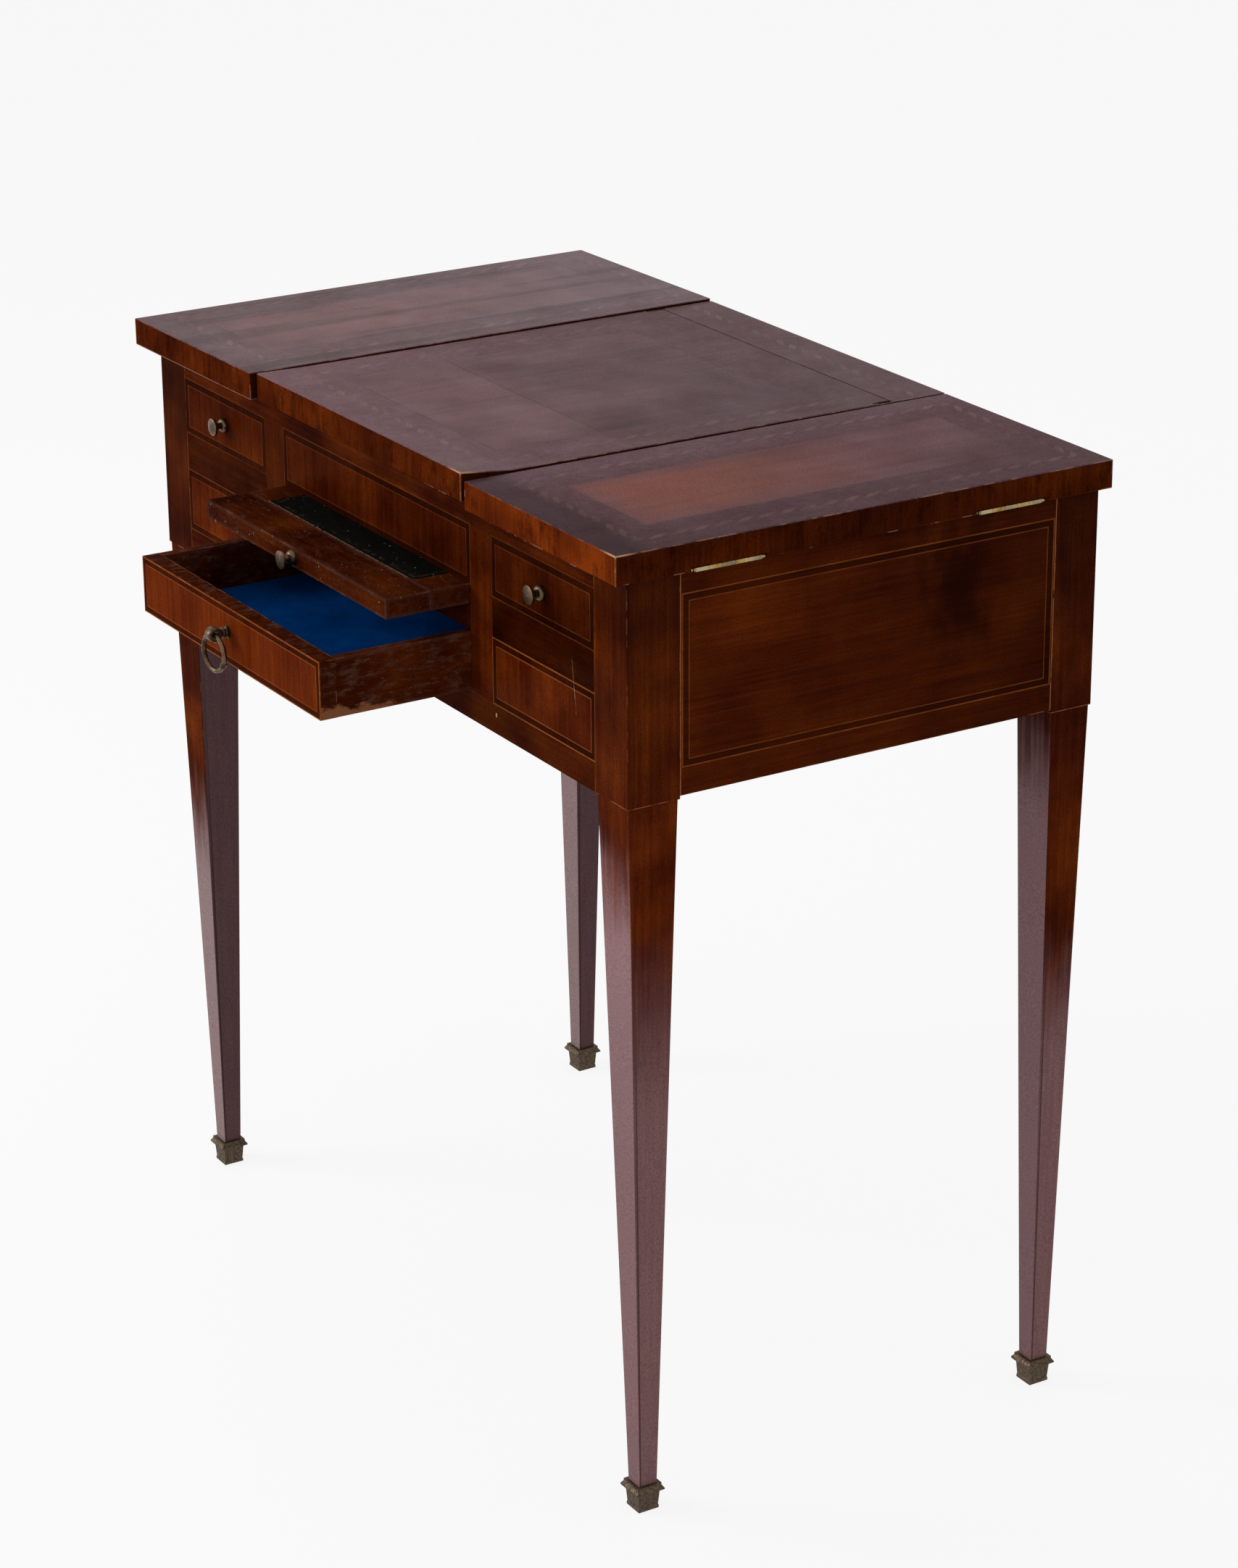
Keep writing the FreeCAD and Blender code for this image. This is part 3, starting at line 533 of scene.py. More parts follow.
def end_panel(side):
    low, high = box("side_panel_" + side)
    finish = Finish("veneer_side_panel_" + side)
    to_back = (finish.y - low.y) / (high.y - low.y)
    colour = finish.shade(mahogany(finish, "y", PANEL_SHIFT, even=0.5), 1.62 - to_back * 0.75)
    colour = finish.paint(colour, WOOD_DEEP, old_stain(finish) * 0.75)
    rectangle = (low.y + PANEL_INSET, high.y - PANEL_INSET, low.z + PANEL_UNDER, case_high.z - PANEL_OVER)
    outer = (abs(finish.x) - case_high.x).step(-0.8 * MM, -0.5 * MM)
    distance = to_outline(finish.y, finish.z, rectangle)
    colour = stringing(finish, colour, distance, 0.6, shift=2.0, where=outer, dark=0.5)
    joint = -finish.y.beyond(low.y, high.y)
    colour = finish.paint(colour, BARE_WOOD, worn(finish, joint, 1.1 * MM, 1.2, 3.0) * 0.95)
    lower_edge = finish.z - low.z
    colour = finish.paint(colour, BARE_WOOD, worn(finish, lower_edge, 0.9 * MM, 0.3, 5.0) * 0.6)
    dress(["side_panel_" + side], polished(finish, colour, "y", shift=PANEL_SHIFT))


for side in ("left", "right"):
    end_panel(side)

# %% [markdown]
# ## The legs
# Each leg is one upright piece: a square post, a tiny step in, then a long taper. A finish that
# follows the taper needs to know where the faces are at each height, so the taper is worked out
# again here: how far down it a point lies, from 0 under the case to 1 at the shoe, and how wide the
# leg is there. The inner side tapers more than the outer one, so the leg's middle moves outward.

# %% The taper of a leg
LEG_STEP = 1.25 * MM
LEG_SHIFT = 3.0 * MM
ANKLE = 7.75 * MM
SHOE_TOP = 22 * MM


def half_width(half, down, below):
    """Half a leg's width, which steps in under the post and then tapers to the ankle."""
    return half - below * LEG_STEP - down * (half - LEG_STEP - ANKLE)


def leg_places(finish, low, high):
    """How far down the taper a point lies, whether it is below the post, and its way in from the faces."""
    middle, half = (low + high) / 2, (high - low) / 2
    down = ((case_low.z - finish.z) / (case_low.z - SHOE_TOP)).most(0).least(1)
    below = 1 - finish.z.step(case_low.z - 0.4 * MM, case_low.z)
    outward = math.copysign(LEG_SHIFT, middle.x)
    to_x = half_width(half.x, down, below) - abs(finish.x - middle.x - down * outward)
    half_y = half_width(half.y, down, below)
    to_front = finish.y - middle.y + half_y
    to_y = half_y - abs(finish.y - middle.y)
    return down, below, to_front, abs(to_x.most(to_y))


print("the taper is", round((case_low.z - SHOE_TOP) / MM), "mm long and ends", ANKLE * 2 / MM, "mm wide")

# %% [markdown]
# The legs are painted paler and greyer further down. Partly the polish has gone dry there, where the sun
# and the damp of the floor reached it, and partly it is a painted sheen: the white floor's reflection painted
# into the colour. It sets in at another height on each leg, in front and at the sides, and in streaks that
# run down the grain. So each leg has two rows, for its front face and for its other faces: the colour
# of the dry polish and painted sheen, its strength, and how far down the taper it begins and is complete.

# %% Dry polish, painted sheen and the line of inlay
LEG_STRIP = 4.2 * MM
LEG_LINE = (0.022, 0.007, 0.007)


def dry_polish_and_sheen(finish, colour, rows, down, below, facing):
    """Lays the dry polish and its painted sheen over a leg, and says how dry it is."""
    front_dry_and_sheen, side_dry_and_sheen = rows
    patches = down + finish.noise((30, 30, 9), 3.0, 0.6, 52) * 0.16 - 0.13
    patches = patches + finish.noise((260, 260, 7), 3.0, 0.6, 57) * 0.1
    streaks = finish.noise((300, 300, 12), 3.0, 0.6, 56) * 0.5 + 0.75
    front = patches.step(*front_dry_and_sheen[2:]) * facing * front_dry_and_sheen[1]
    sides = patches.step(*side_dry_and_sheen[2:]) * (1 - facing) * side_dry_and_sheen[1]
    # The painted sheen in front is paler high up and darker towards the shoe.
    paler = (1 - down.step(-0.1, 0.6)) * 0.4 + 1
    colour = finish.paint(colour, finish.shade(flecked(finish, front_dry_and_sheen[0], 54), paler), front * below)
    colour = finish.paint(colour, finish.shade(flecked(finish, side_dry_and_sheen[0], 54), streaks), sides * below)
    return colour, front.most(sides)


def side_line(finish, colour, to_front, down, below, facing):
    """A thin dark line down the side faces, just behind the front corner."""
    from_line = to_front + down * (LEG_STRIP * 0.75) - LEG_STRIP
    before = (1 - from_line.step(0, 0.5 * MM)) * 0.35
    strip = before.most(from_line.near(0, 0.4 * MM, 0.5 * MM) * 0.7) * (1 - facing) * below
    return finish.paint(colour, LEG_LINE, strip * (down.step(0.15, 0.6) * 0.8 + 0.2))


print("the dark line lies", LEG_STRIP / MM, "mm behind the corner at the top,",
      round(LEG_STRIP * 0.25 / MM, 1), "mm at the shoe")

# %% [markdown]
# Above, each post is painted darker towards the top: painted shade, where the overhang shades it.
# The corners are rubbed a little, and so is the shoulder where the post ends.

# %% The legs
DRY_AND_SHEEN_NEAR = (0.240, 0.139, 0.147)
DRY_AND_SHEEN_LEFT = (0.245, 0.165, 0.168)
DRY_AND_SHEEN_BACK = (0.180, 0.100, 0.107)
DRY_AND_SHEEN_SIDE = (0.220, 0.111, 0.113)
SHADED_DRY_AND_SHEEN = (0.109, 0.056, 0.061)
# The dry polish and painted sheen of the front face and of the other faces, and the depth of the wood's colour;
# the shaded colour is also painted shade.
LEGS = {"leg_front_left": (((DRY_AND_SHEEN_LEFT, 0.95, 0.36, 0.55), (SHADED_DRY_AND_SHEEN, 0.9, 0.0, 0.1)), 0.85),
        "leg_front_right": (((DRY_AND_SHEEN_NEAR, 0.9, 0.03, 0.22), (DRY_AND_SHEEN_SIDE, 0.95, 0.15, 0.5)), 1.3),
        "leg_back_left": (((DRY_AND_SHEEN_LEFT, 0.95, 0.1, 0.26), (SHADED_DRY_AND_SHEEN, 0.9, 0.1, 0.2)), 0.9),
        "leg_back_right": (((DRY_AND_SHEEN_BACK, 0.95, 0.0, 0.16), (DRY_AND_SHEEN_SIDE, 0.95, 0.3, 0.54)), 1.05)}


def leg(name, dry_and_sheen_rows, depth):
    low, high = box(name)
    finish = Finish("veneer_" + name)
    down, below, to_front, inset = leg_places(finish, low, high)
    facing = 1 - to_front.step(0.3 * MM, 0.8 * MM)
    # Painted shade: the post darker towards the top, under the overhang.
    post = 1.25 - (finish.z - case_low.z) / (case_high.z - case_low.z) * 0.55
    tone = (post + (1.5 - post) * below) * depth
    colour = finish.shade(mahogany(finish, "z", 30.0 + low.x + low.y), tone)
    colour, dryness = dry_polish_and_sheen(finish, colour, dry_and_sheen_rows, down, below, facing)
    colour = side_line(finish, colour, to_front, down, below, facing)
    colour = finish.paint(colour, BARE_WOOD, worn(finish, inset, 0.8 * MM, 0.35, 53) * 0.28)
    shoulder = finish.z.near(case_low.z, 0.5 * MM) * finish.noise(70, 2.0, 0.5, 54).step(0.4, 0.6)
    colour = finish.paint(colour, BARE_WOOD, shoulder * 0.7)
    joint = abs(finish.x) - POST_INNER
    colour = finish.paint(colour, STRING, worn(finish, joint, JOINT_WIDTH, 0.8, 55) * (1 - below) * 0.3)
    dress([name], polished(finish, colour, "z", polish=dryness * 0.12 + 0.03, shift=30.0 + low.x))


for name, (dry_and_sheen_rows, depth) in LEGS.items():
    leg(name, dry_and_sheen_rows, depth)

# %% [markdown]
# ## The top
# Each section of the top has a field of straight grained veneer inside a border. In the middle of the
# border runs a rope of light and dark blocks set aslant, now so faded that only some of the light ones
# show. The blocks repeat along the rope, so one sum with a remainder draws them all.

# %% The rope of light and dark blocks
ROPE_STEP = 18.2 * MM
ROPE_WIDTH = 6.0 * MM
ROPE_SLANT = 1.5
ROPE_LIGHT = (0.235, 0.118, 0.095)


def rope(finish, along, across):
    """1 on the light blocks of a rope laid where across is nought."""
    slanted = (along + across * ROPE_SLANT).repeat(ROPE_STEP)
    block = slanted.near(ROPE_STEP / 2, ROPE_STEP * 0.2, 2.5 * MM)
    block = block * across.near(0, ROPE_WIDTH / 2 - 1 * MM, 2.2 * MM)
    return block * (finish.noise(260, 2.0, 0.6, 66) * 0.9 + 0.3)


def rope_inlay(finish, colour, rectangle, shift):
    """Lays the rope along the four sides of a rectangle."""
    left, right, front, back = rectangle
    x, y = finish.x, finish.y
    run_x, run_y = x.within(left, right), y.within(front, back)
    blocks = rope(finish, y, x - left) * run_y
    blocks = blocks.most(rope(finish, y, x - right) * run_y)
    blocks = blocks.most(rope(finish, x, y - front) * run_x)
    blocks = blocks.most(rope(finish, x, y - back) * run_x)
    faded = finish.noise(34, 3.0, 0.6, shift + 6).step(0.36, 0.68)
    return finish.paint(colour, ROPE_LIGHT, blocks * (faded * 0.46 + 0.12))


print("rope blocks every", ROPE_STEP / MM, "mm, in a rope", ROPE_WIDTH / MM, "mm wide")

# %% [markdown]
# The veneer of the top has had the most sun and the most wax: it is purplish grey, and a reddish glow
# is left in front. On the flap two leaves of veneer meet: the front one is paler, and a thin dark
# line shows where they part.

# %% The top's veneer
TOP_DARK = (0.069, 0.028, 0.032)
TOP_MIDDLE = (0.111, 0.052, 0.060)
TOP_LIGHT = (0.160, 0.083, 0.097)
TOP_RED = (0.200, 0.064, 0.044)
GLOW_REACH = 30 * MM


def top_field(finish, inside, to_back, shift, red):
    """The straight grained field, with the red that is left in front."""
    tone = grain(finish, "y", shift)
    colour = finish.ramp(tone, (0.3, TOP_DARK), (0.5, TOP_MIDDLE), (0.72, TOP_LIGHT))
    glow = 1 - (to_back + finish.noise((9, 4, 9), 1.0, 0.5, shift + 17) * 0.4).step(0.45, 1.05) * 0.85
    glow = glow * ((-inside).step(0, GLOW_REACH) * 0.6 + 0.45)
    return finish.paint(colour, TOP_RED, glow * (tone * 0.7 + 0.6) * red)


def top_border(finish, shift):
    tone = finish.noise(160, 3.0, 0.65, shift + 2) * 0.6 + finish.noise(30, 2.0, 0.5, shift) * 0.4
    return finish.ramp(tone, (0.3, TOP_DARK), (0.7, TOP_MIDDLE))


def two_leaves(finish, middle, border, parted, shift):
    """The leaf before the parting, a length behind the case's front, is the paler one."""
    line_at = finish.y + finish.noise(11, 2.0, 0.5, shift + 30) * 4 * MM - case_low.y - parted
    before = 1 - line_at.step(-1.5 * MM, 1.5 * MM)
    line = line_at.near(0, 0.4 * MM, 1.0 * MM) * 0.3
    return finish.shade(middle, before * 0.13 - line + 0.96), finish.shade(border, before * 0.15 + 1.17)


print("the field is up to", round(TOP_LIGHT[0] / TOP_DARK[0], 1), "times as bright in its light streaks")

# %% [markdown]
# Wear, weather and painted light lie over the whole face: a pale haze at the back and at the left, which
# is painted sheen, the white surroundings reflected at a grazing angle; painted light and shade from
# corner to corner; a darker stain in front; and polish rubbed away along the seams. The face is put
# together from the margins of its rope and of its field, given as left, right, front and back.

# %% A whole upper face
TOP_SHEEN_AND_WEAR = (0.235, 0.205, 0.235)
FRONT_STAIN, FRONT_STAIN_RAGGED = (35 * MM, 60 * MM), 30 * MM
SEAM_RIM = 0.4 * MM, 1.1 * MM
JOIN_RIM, JOIN_RAGGED = (-3.5 * MM, 3.0 * MM), 7 * MM


def weathered(finish, colour, outline, to_back, shift, look):
    left, right, front, back = outline
    to_right = (finish.x - left) / (right - left)
    # The pale haze at the back and at the left is painted sheen: the white surroundings reflected at a grazing
    # angle.
    painted_sheen = (to_back.step(0.3, 1.1) * look.bloom[0]).most((1 - to_right.step(0.05, 0.3)) * look.bloom[1])
    colour = finish.paint(colour, TOP_SHEEN_AND_WEAR, painted_sheen)
    # Painted light and shade: the face made lighter or darker towards its left, right, front and back.
    at_left, at_right, at_front, at_back = look.lights
    across = (1 - to_right) * at_left + to_right * at_right
    level = across + (1 - to_back) * at_front + to_back * at_back + 1
    reach = finish.y + finish.noise(25, 3.0, 0.6, shift + 33) * FRONT_STAIN_RAGGED - front
    colour = finish.shade(colour, level * (1 - (1 - reach.step(*FRONT_STAIN)) * look.stained))
    to_seams = (finish.x - left).least(back - finish.y)
    colour = finish.paint(colour, TOP_SHEEN_AND_WEAR, (1 - to_seams.step(*SEAM_RIM)) * 0.8)
    return flecked(finish, colour, shift)


def inset(outline, margins):
    left, right, front, back = outline
    return left + margins[0], right - margins[1], front + margins[2], back - margins[3]


def upper_face(finish, outline, margins, shift, look):
    """The colour of one section's upper face."""
    rope_margins, field_margins = margins
    inside = to_outline(finish.x, finish.y, inset(outline, field_margins))
    to_back = (finish.y - outline[2]) / (outline[3] - outline[2])
    middle = top_field(finish, inside, to_back, shift, look.red)
    border = top_border(finish, shift)
    if look.parted:
        middle, border = two_leaves(finish, middle, border, look.parted, shift)
    join = inside + (finish.noise(70, 3.0, 0.6, shift + 23) - 0.5) * JOIN_RAGGED
    colour = finish.paint(border, middle, 1 - join.step(*JOIN_RIM))
    broken = finish.noise(28, 2.0, 0.5, shift + 4).step(0.35, 0.6)
    colour = finish.paint(colour, TOP_DARK, inside.near(0, 0.4 * MM, 0.5 * MM) * broken * 0.7)
    colour = rope_inlay(finish, colour, inset(outline, rope_margins), shift)
    return weathered(finish, colour, outline, to_back, shift, look)


print("bloom is", round(TOP_SHEEN_AND_WEAR[2] / TOP_MIDDLE[2], 1), "times as blue as the veneer under it")

# %% [markdown]
# The top's edges are the brightest wood on the table: upright grain, orange where the light falls on
# the corner, with dark mottling where the veneer has taken dirt. The upper arris is ragged, because the
# veneer of the top has chipped along it, and the lower arris shows a thin pale line.

# %% The edges of the top
EDGE_DARK = (0.030, 0.0040, 0.0010)
EDGE_MIDDLE = (0.082, 0.0122, 0.0014)
EDGE_LIGHT = (0.165, 0.0275, 0.0024)
EDGE_PINK = (0.33, 0.18, 0.135)
EDGE_GOLD = (0.58, 0.30, 0.15)
EDGE_ORANGE_HIGHLIGHT = (0.42, 0.13, 0.03)
CORNER_REACH, CORNER_UPRIGHT = 22 * MM, 1.4 * MM
UPPER_ARRIS, LOWER_ARRIS = 1.0 * MM, 0.9 * MM
LOWER_BEGINS = 11 * MM, 12 * MM


def edge_banding(finish, low, high, shift):
    colour = finish.ramp(grain(finish, "z", shift), (0.34, EDGE_DARK), (0.5, EDGE_MIDDLE), (0.66, EDGE_LIGHT))
    stains = finish.noise((110, 110, 45), 4.0, 0.75, shift + 8).step(0.46, 0.7)
    colour = finish.paint(colour, WOOD_DEEP, stains * 0.62)
    # The end faces are painted half as dark: painted shade, as they face away from the light.
    ends = finish.x.beyond(low.x, high.x).step(-0.5 * MM, -0.2 * MM)
    return flecked(finish, finish.shade(colour, 1 - ends * 0.5), shift)


def rubbed_corner(finish, x, y, reach):
    """1 near an upright corner, fading along the edges that meet there."""
    ragged = finish.noise(300, 3.0, 0.7, 61) * 0.8 + 0.6
    return (1 - abs(finish.x - x).most(abs(finish.y - y)).step(reach * 0.25, reach)) * ragged


def rubbed_edges(finish, colour, low, high, depth, shift, look):
    """Pale lines on the upper and lower arrises, the rubbed front right corner, and a painted highlight on its
    upright arris.
    """
    distance = to_edge(finish, low, high)
    lower = depth.step(*LOWER_BEGINS)
    ends = finish.x.beyond(low.x, high.x).step(-4 * MM, -3 * MM)
    upper_line = worn(finish, distance, UPPER_ARRIS, look.wear, shift) * (1 - lower) * (ends * 0.5 + 0.2)
    colour = finish.paint(colour, EDGE_PINK, upper_line)
    lower_line = worn(finish, distance, LOWER_ARRIS, look.lower_wear, shift + 1) * lower * 0.6
    colour = finish.paint(colour, EDGE_PINK, lower_line)
    rubbed_away = rubbed_corner(finish, high.x, low.y, CORNER_REACH) * (1 - distance.step(0.5 * MM, 1.3 * MM))
    colour = finish.paint(colour, EDGE_GOLD, rubbed_away * (1 - depth.step(0.8 * MM, 2.2 * MM)) * look.corner)
    # A painted highlight: orange on the upright front right corner, where the light falls on it.
    upright = rubbed_corner(finish, high.x, low.y, CORNER_UPRIGHT)
    upright = upright * finish.noise(120, 3.0, 0.7, 62).step(0.3, 0.55)
    return finish.paint(colour, EDGE_ORANGE_HIGHLIGHT, upright * look.corner * 0.6)


print("edge banding is up to", round(EDGE_LIGHT[0] / WOOD_MIDDLE[0], 1), "times as bright as the fronts")

# %% [markdown]
# One function finishes any section of the top, and a `look` says how far each kind of wear has gone
# on it. The depth of a point under the upper face tells the face, the edge and the underside apart.

# %% One section of the top
EDGE_SHEEN = 0.01
FACE_DEPTH = 0.55 * MM, 0.75 * MM
UNDERSIDE = 0.6 * MM, 0.3 * MM
# A noise times the first length, less the second, is how far the face's veneer hangs over the edge,
# and how far it is chipped away in front.
RIM_RAGGED, RIM_LESS = 2.6 * MM, 0.9 * MM
CHIPS_RAGGED, CHIPS_LESS = 5.0 * MM, 2.4 * MM
LID_BOTTOM, LID_TOP = [corner.z for corner in box("lid_right")]
# red: the glow in the field; the pale haze at the back and at the left, which is painted sheen; parted:
# where two leaves of veneer meet; sheen: of the face; top and edge: their lightness; wear and lower_wear:
# of the arrises; corner: the wear and the painted highlight of the front right corner; the shading of the
# ripples in the veneer, which is painted shade; the light and shade painted at the left, right, front
# and back; stained: in front.
PLAIN_LOOK = {"red": 0.0, "bloom": (0.0, 0.0), "parted": 0.0, "sheen": 0.1, "top": 1.0, "edge": 1.0,
              "wear": 0.4, "lower_wear": 0.3, "corner": 0.0, "rippled": 0.1, "lights": (0.0, 0.0, 0.0, 0.0),
              "stained": 0.0}


def top_section(name, margins, shift, plane=None, **changes):
    """A lid, the flap or the strip; plane gives the height of its upper face above the others."""
    look = SimpleNamespace(**{**PLAIN_LOOK, **changes})
    low, high = box(name)
    high.z, low.z = LID_TOP, LID_BOTTOM
    finish = Finish("veneer_" + name)
    if plane:
        finish.z = finish.z - plane(finish)
    depth = LID_TOP - finish.z
    upper = 1 - depth.step(*FACE_DEPTH)
    face = upper_face(finish, (low.x, high.x, low.y, high.y), margins, shift, look)
    # Painted shade of the ripples in the veneer: streaks along the grain made darker.
    ripple_shade = finish.noise((48, 3.2, 48), 3.0, 0.55, shift + 27).step(0.48, 0.64)
    face = finish.shade(face, look.top - ripple_shade * look.rippled)
    sides = finish.shade(edge_banding(finish, low, high, shift), look.edge)
    ragged = finish.noise((230, 230, 60), 3.0, 0.75, shift + 9)
    rim = 1 - (depth - ragged * RIM_RAGGED + RIM_LESS).step(0.0, 0.35 * MM)
    unchipped = (finish.y - low.y - ragged * CHIPS_RAGGED + CHIPS_LESS).step(0, 0.4 * MM)
    colour = finish.paint(sides, face, (upper * unchipped).most(rim * 0.8 * (1 - upper)))
    thickness = LID_TOP - LID_BOTTOM
    under = depth.step(thickness - UNDERSIDE[0], thickness - UNDERSIDE[1])
    colour = finish.paint(colour, mahogany(finish, "y", shift + 2), under)
    colour = rubbed_edges(finish, colour, low, high, depth, shift, look)
    ripples = finish.noise((26, 5, 26), 2.0, 0.5, shift + 19)
    fine = finish.noise((700, 60, 700), 2.0, 0.6, shift + 13)
    haze = finish.noise(24, 3.0, 0.6, shift + 41)
    coat = (haze + 0.5) * upper * look.sheen + (1 - upper) * EDGE_SHEEN
    dress([name], finish.close(colour, Roughness=haze * 0.2 + 0.4, Specular_IOR_Level=UNDER_POLISH,
                               Coat_Weight=coat, Coat_Roughness=POLISH_BLUR,
                               Normal=finish.bump(ripples * 12 + fine, PORE_RELIEF)))


# Some of these are painted light: the pale haze is painted sheen, and the shading of the ripples and the
# lightness added at the sides are painted light and shade.
print("kinds of wear on the top:", ", ".join(PLAIN_LOOK))

# %% [markdown]
# The right lid and the strip at the back still lie flat. The lid's field keeps most of its red, and its
# front right corner is the most rubbed. The strip is all border: the margins of its field are so wide
# that no field is left, and only the back line of its rope falls on it.

# %% The right lid and the strip
def in_mm(left, right, front, back):
    return left * MM, right * MM, front * MM, back * MM


RIGHT_LID = in_mm(24, 24, 33, 17), in_mm(49, 50, 56, 44)
STRIP = in_mm(-30, -30, -30, 24), in_mm(200, 200, 20, 20)
top_section("lid_right", RIGHT_LID, 70.0, red=0.85, bloom=(0.04, 0.1), sheen=0.11, edge=1.4, wear=0.45,
            corner=0.9, lights=(0.34, 0.03, -0.06, -0.03), stained=0.45)
top_section("back_strip", STRIP, 80.0, sheen=0.24, top=1.15, edge=0.8)

# %% [markdown]
# Two sections no longer lie flat. The left lid stands open by half a degree, and the flap has curled
# up in front, most at its right corner. Their upper faces are worked out again from the same
# measures, as a rise above the right lid, so that the polish ends where the edge begins.

# %% The left lid and the flap
LEFT_LID_OPEN = math.radians(0.56)
HINGE_X = (box("hinge_pins_left")[0].x + box("hinge_pins_left")[1].x) / 2
LEFT_LID = in_mm(18, 25, 30, 17), in_mm(43, 50, 45, 44)
FLAP = in_mm(25, 25, 35, -30), in_mm(46, 48, 58, 58)
FLAP_PARTED = 135 * MM
# The flap's rise at its left and right end in millimetres: at the back, where the curl starts, in front.
FLAP_RISES = (0.5, 0.5), (0.9, 1.5), (1.8, 6.2)
# By how many millimetres its front edge stands back at its left end.
FLAP_FRONT_SKEW = 4.5
flap_low, flap_high = box("mirror_flap")
CURL_START = box("mirror_frame")[0].y - 3 * MM


def lid_plane(finish):
    return (finish.x - HINGE_X) * math.tan(LEFT_LID_OPEN)


def between(share, left, right):
    return share * ((right - left) * MM) + left * MM


def flap_plane(finish):
    share = (finish.x - flap_low.x) / (flap_high.x - flap_low.x)
    back, curl, front = [between(share, *rises) for rises in FLAP_RISES]
    to_back = (finish.y - CURL_START) / (flap_high.y - CURL_START)
    to_front = (CURL_START - finish.y) / ((CURL_START - flap_low.y) - between(share, FLAP_FRONT_SKEW, 0))
    behind = curl * (1 - to_back) + back * to_back
    before = curl * (1 - to_front) + front * to_front
    return behind.most(before)


top_section("lid_left", LEFT_LID, 60.0, lid_plane, red=0.22, bloom=(0.12, 0.0), sheen=0.3, top=1.32, edge=0.8,
            lower_wear=1.2, rippled=0.42)
top_section("mirror_flap", FLAP, 90.0, flap_plane, red=0.1, parted=FLAP_PARTED, sheen=0.21, top=1.05, edge=0.82,
            corner=0.8, lights=(0.1, -0.05, 0.13, -0.13))

# %% [markdown]
# ## Writing slide and drawers
# The slide and the drawers are plain joiner's work in dark stained wood, handled more than anything
# else: dusty on top, rubbed at the ends, smeared with old polish at the sides. Low at its front the
# drawer drags on its runners, and bare wood shows there.

# %% The slide and the drawer's boards
SMEAR = (0.120, 0.062, 0.046)
DUST = (0.42, 0.33, 0.27)
DRAG_HEIGHT, DRAG_LENGTH = 13 * MM, 95 * MM


def dusty(finish, colour, shift, amount):
    """Pale specks of dust that lie in the old polish."""
    specks = finish.noise(330, 1.0, 0.5, shift + 4).step(0.73, 0.77)
    return finish.paint(colour, DUST, specks * amount)


def scuffs(finish, scales, shift):
    """1 in the scuffs of a handled board."""
    return finish.noise(scales, 5.0, 0.75, shift).step(0.46, 0.74)


def rubbed_low(finish, low):
    """1 on the bare wood low at the drawer's front."""
    height = (finish.z - low.z) / DRAG_HEIGHT + (finish.y - low.y) / DRAG_LENGTH
    return 1 - (height - finish.noise((60, 60, 160), 4.0, 0.7, 113) * 1.5 + 0.3).step(0.1, 0.35)


def rubbed(name, axis, depth, shift, wear=0.3, pale=0.3, edges=0.4, dust=0.3, low_wear=0.0):
    """A worn board: darker wood, pale scuffs and rubbed edges."""
    low, high = box(name)
    finish = Finish("wood_" + name)
    colour = finish.shade(mahogany(finish, axis, shift), depth)
    colour = finish.paint(colour, SMEAR, scuffs(finish, along_grain(axis, 190, 70), shift + 3) * pale)
    colour = dusty(finish, colour, shift, dust)
    distance = to_edge(finish, low, high)
    bloom = (1 - distance.step(0.5 * MM, 3.5 * MM)) * finish.noise(60, 3.0, 0.7, shift + 2)
    colour = finish.paint(colour, SMEAR, bloom * edges)
    colour = finish.paint(colour, BARE_WOOD, worn(finish, distance, 0.8 * MM, wear, shift) * edges)
    colour = finish.paint(colour, BARE_WOOD, rubbed_low(finish, low) * low_wear)
    dress([name], polished(finish, colour, axis, rough=0.6, shift=shift))


rubbed("slide_cleat", "x", 0.95, 100.0, 0.3, 0.28, 0.4, 0.45)
rubbed("slide_board", "x", 0.95, 101.0, 0.1, 0.28, 0.4, 0.45)
for side in ("left", "right"):
    rubbed("drawer_side_" + side, "y", 1.2, 110.0, 0.2, 0.75, 0.4, 0.15, 0.7)
rubbed("drawer_back", "x", 0.9, 111.0)
rubbed("drawer_bottom", "x", 0.9, 112.0)

# %% [markdown]
# The front of the centre drawer is the show side, so its face has veneer with upright grain and a
# frame of lines right at its rim. Its other faces are the plain wood of the drawer's sides. The mask
# that tells the front face from the rest decides which of the two colours is seen.

# %% The drawer front
front_low, front_high = box("drawer_front")
FRONT_SHIFT = 120.0
FRONT_BAND = 4.0 * MM


def drawer_front():
    finish = Finish("veneer_drawer_front")
    colour = finish.shade(mahogany(finish, "z", FRONT_SHIFT, even=0.6), 2.25)
    outline = (front_low.x + LINE, front_high.x - LINE, front_low.z + LINE, front_high.z - LINE)
    lined = stringing(finish, colour, to_outline(finish.x, finish.z, outline), 0.7, FRONT_BAND, 4.0)
    smeared = finish.paint(finish.shade(colour, 0.4), SMEAR, scuffs(finish, along_grain("y", 190, 70), 5) * 0.6)
    smeared = finish.paint(smeared, BARE_WOOD, rubbed_low(finish, front_low) * 0.7)
    colour = finish.paint(smeared, lined, facing_front(finish, front_low.y))
    edge = to_edge(finish, front_low, front_high)
    colour = finish.paint(colour, BARE_WOOD, worn(finish, edge, 1.0 * MM, 0.5, 12.0) * 0.5)
    dress(["drawer_front"], polished(finish, colour, "z", shift=FRONT_SHIFT))


drawer_front()

# %% [markdown]
# ## Inside the case
# What the eye rarely meets is plain oak, gone brown with age. One finish serves all of it: long level
# grain, slow patches, and short dark pores.

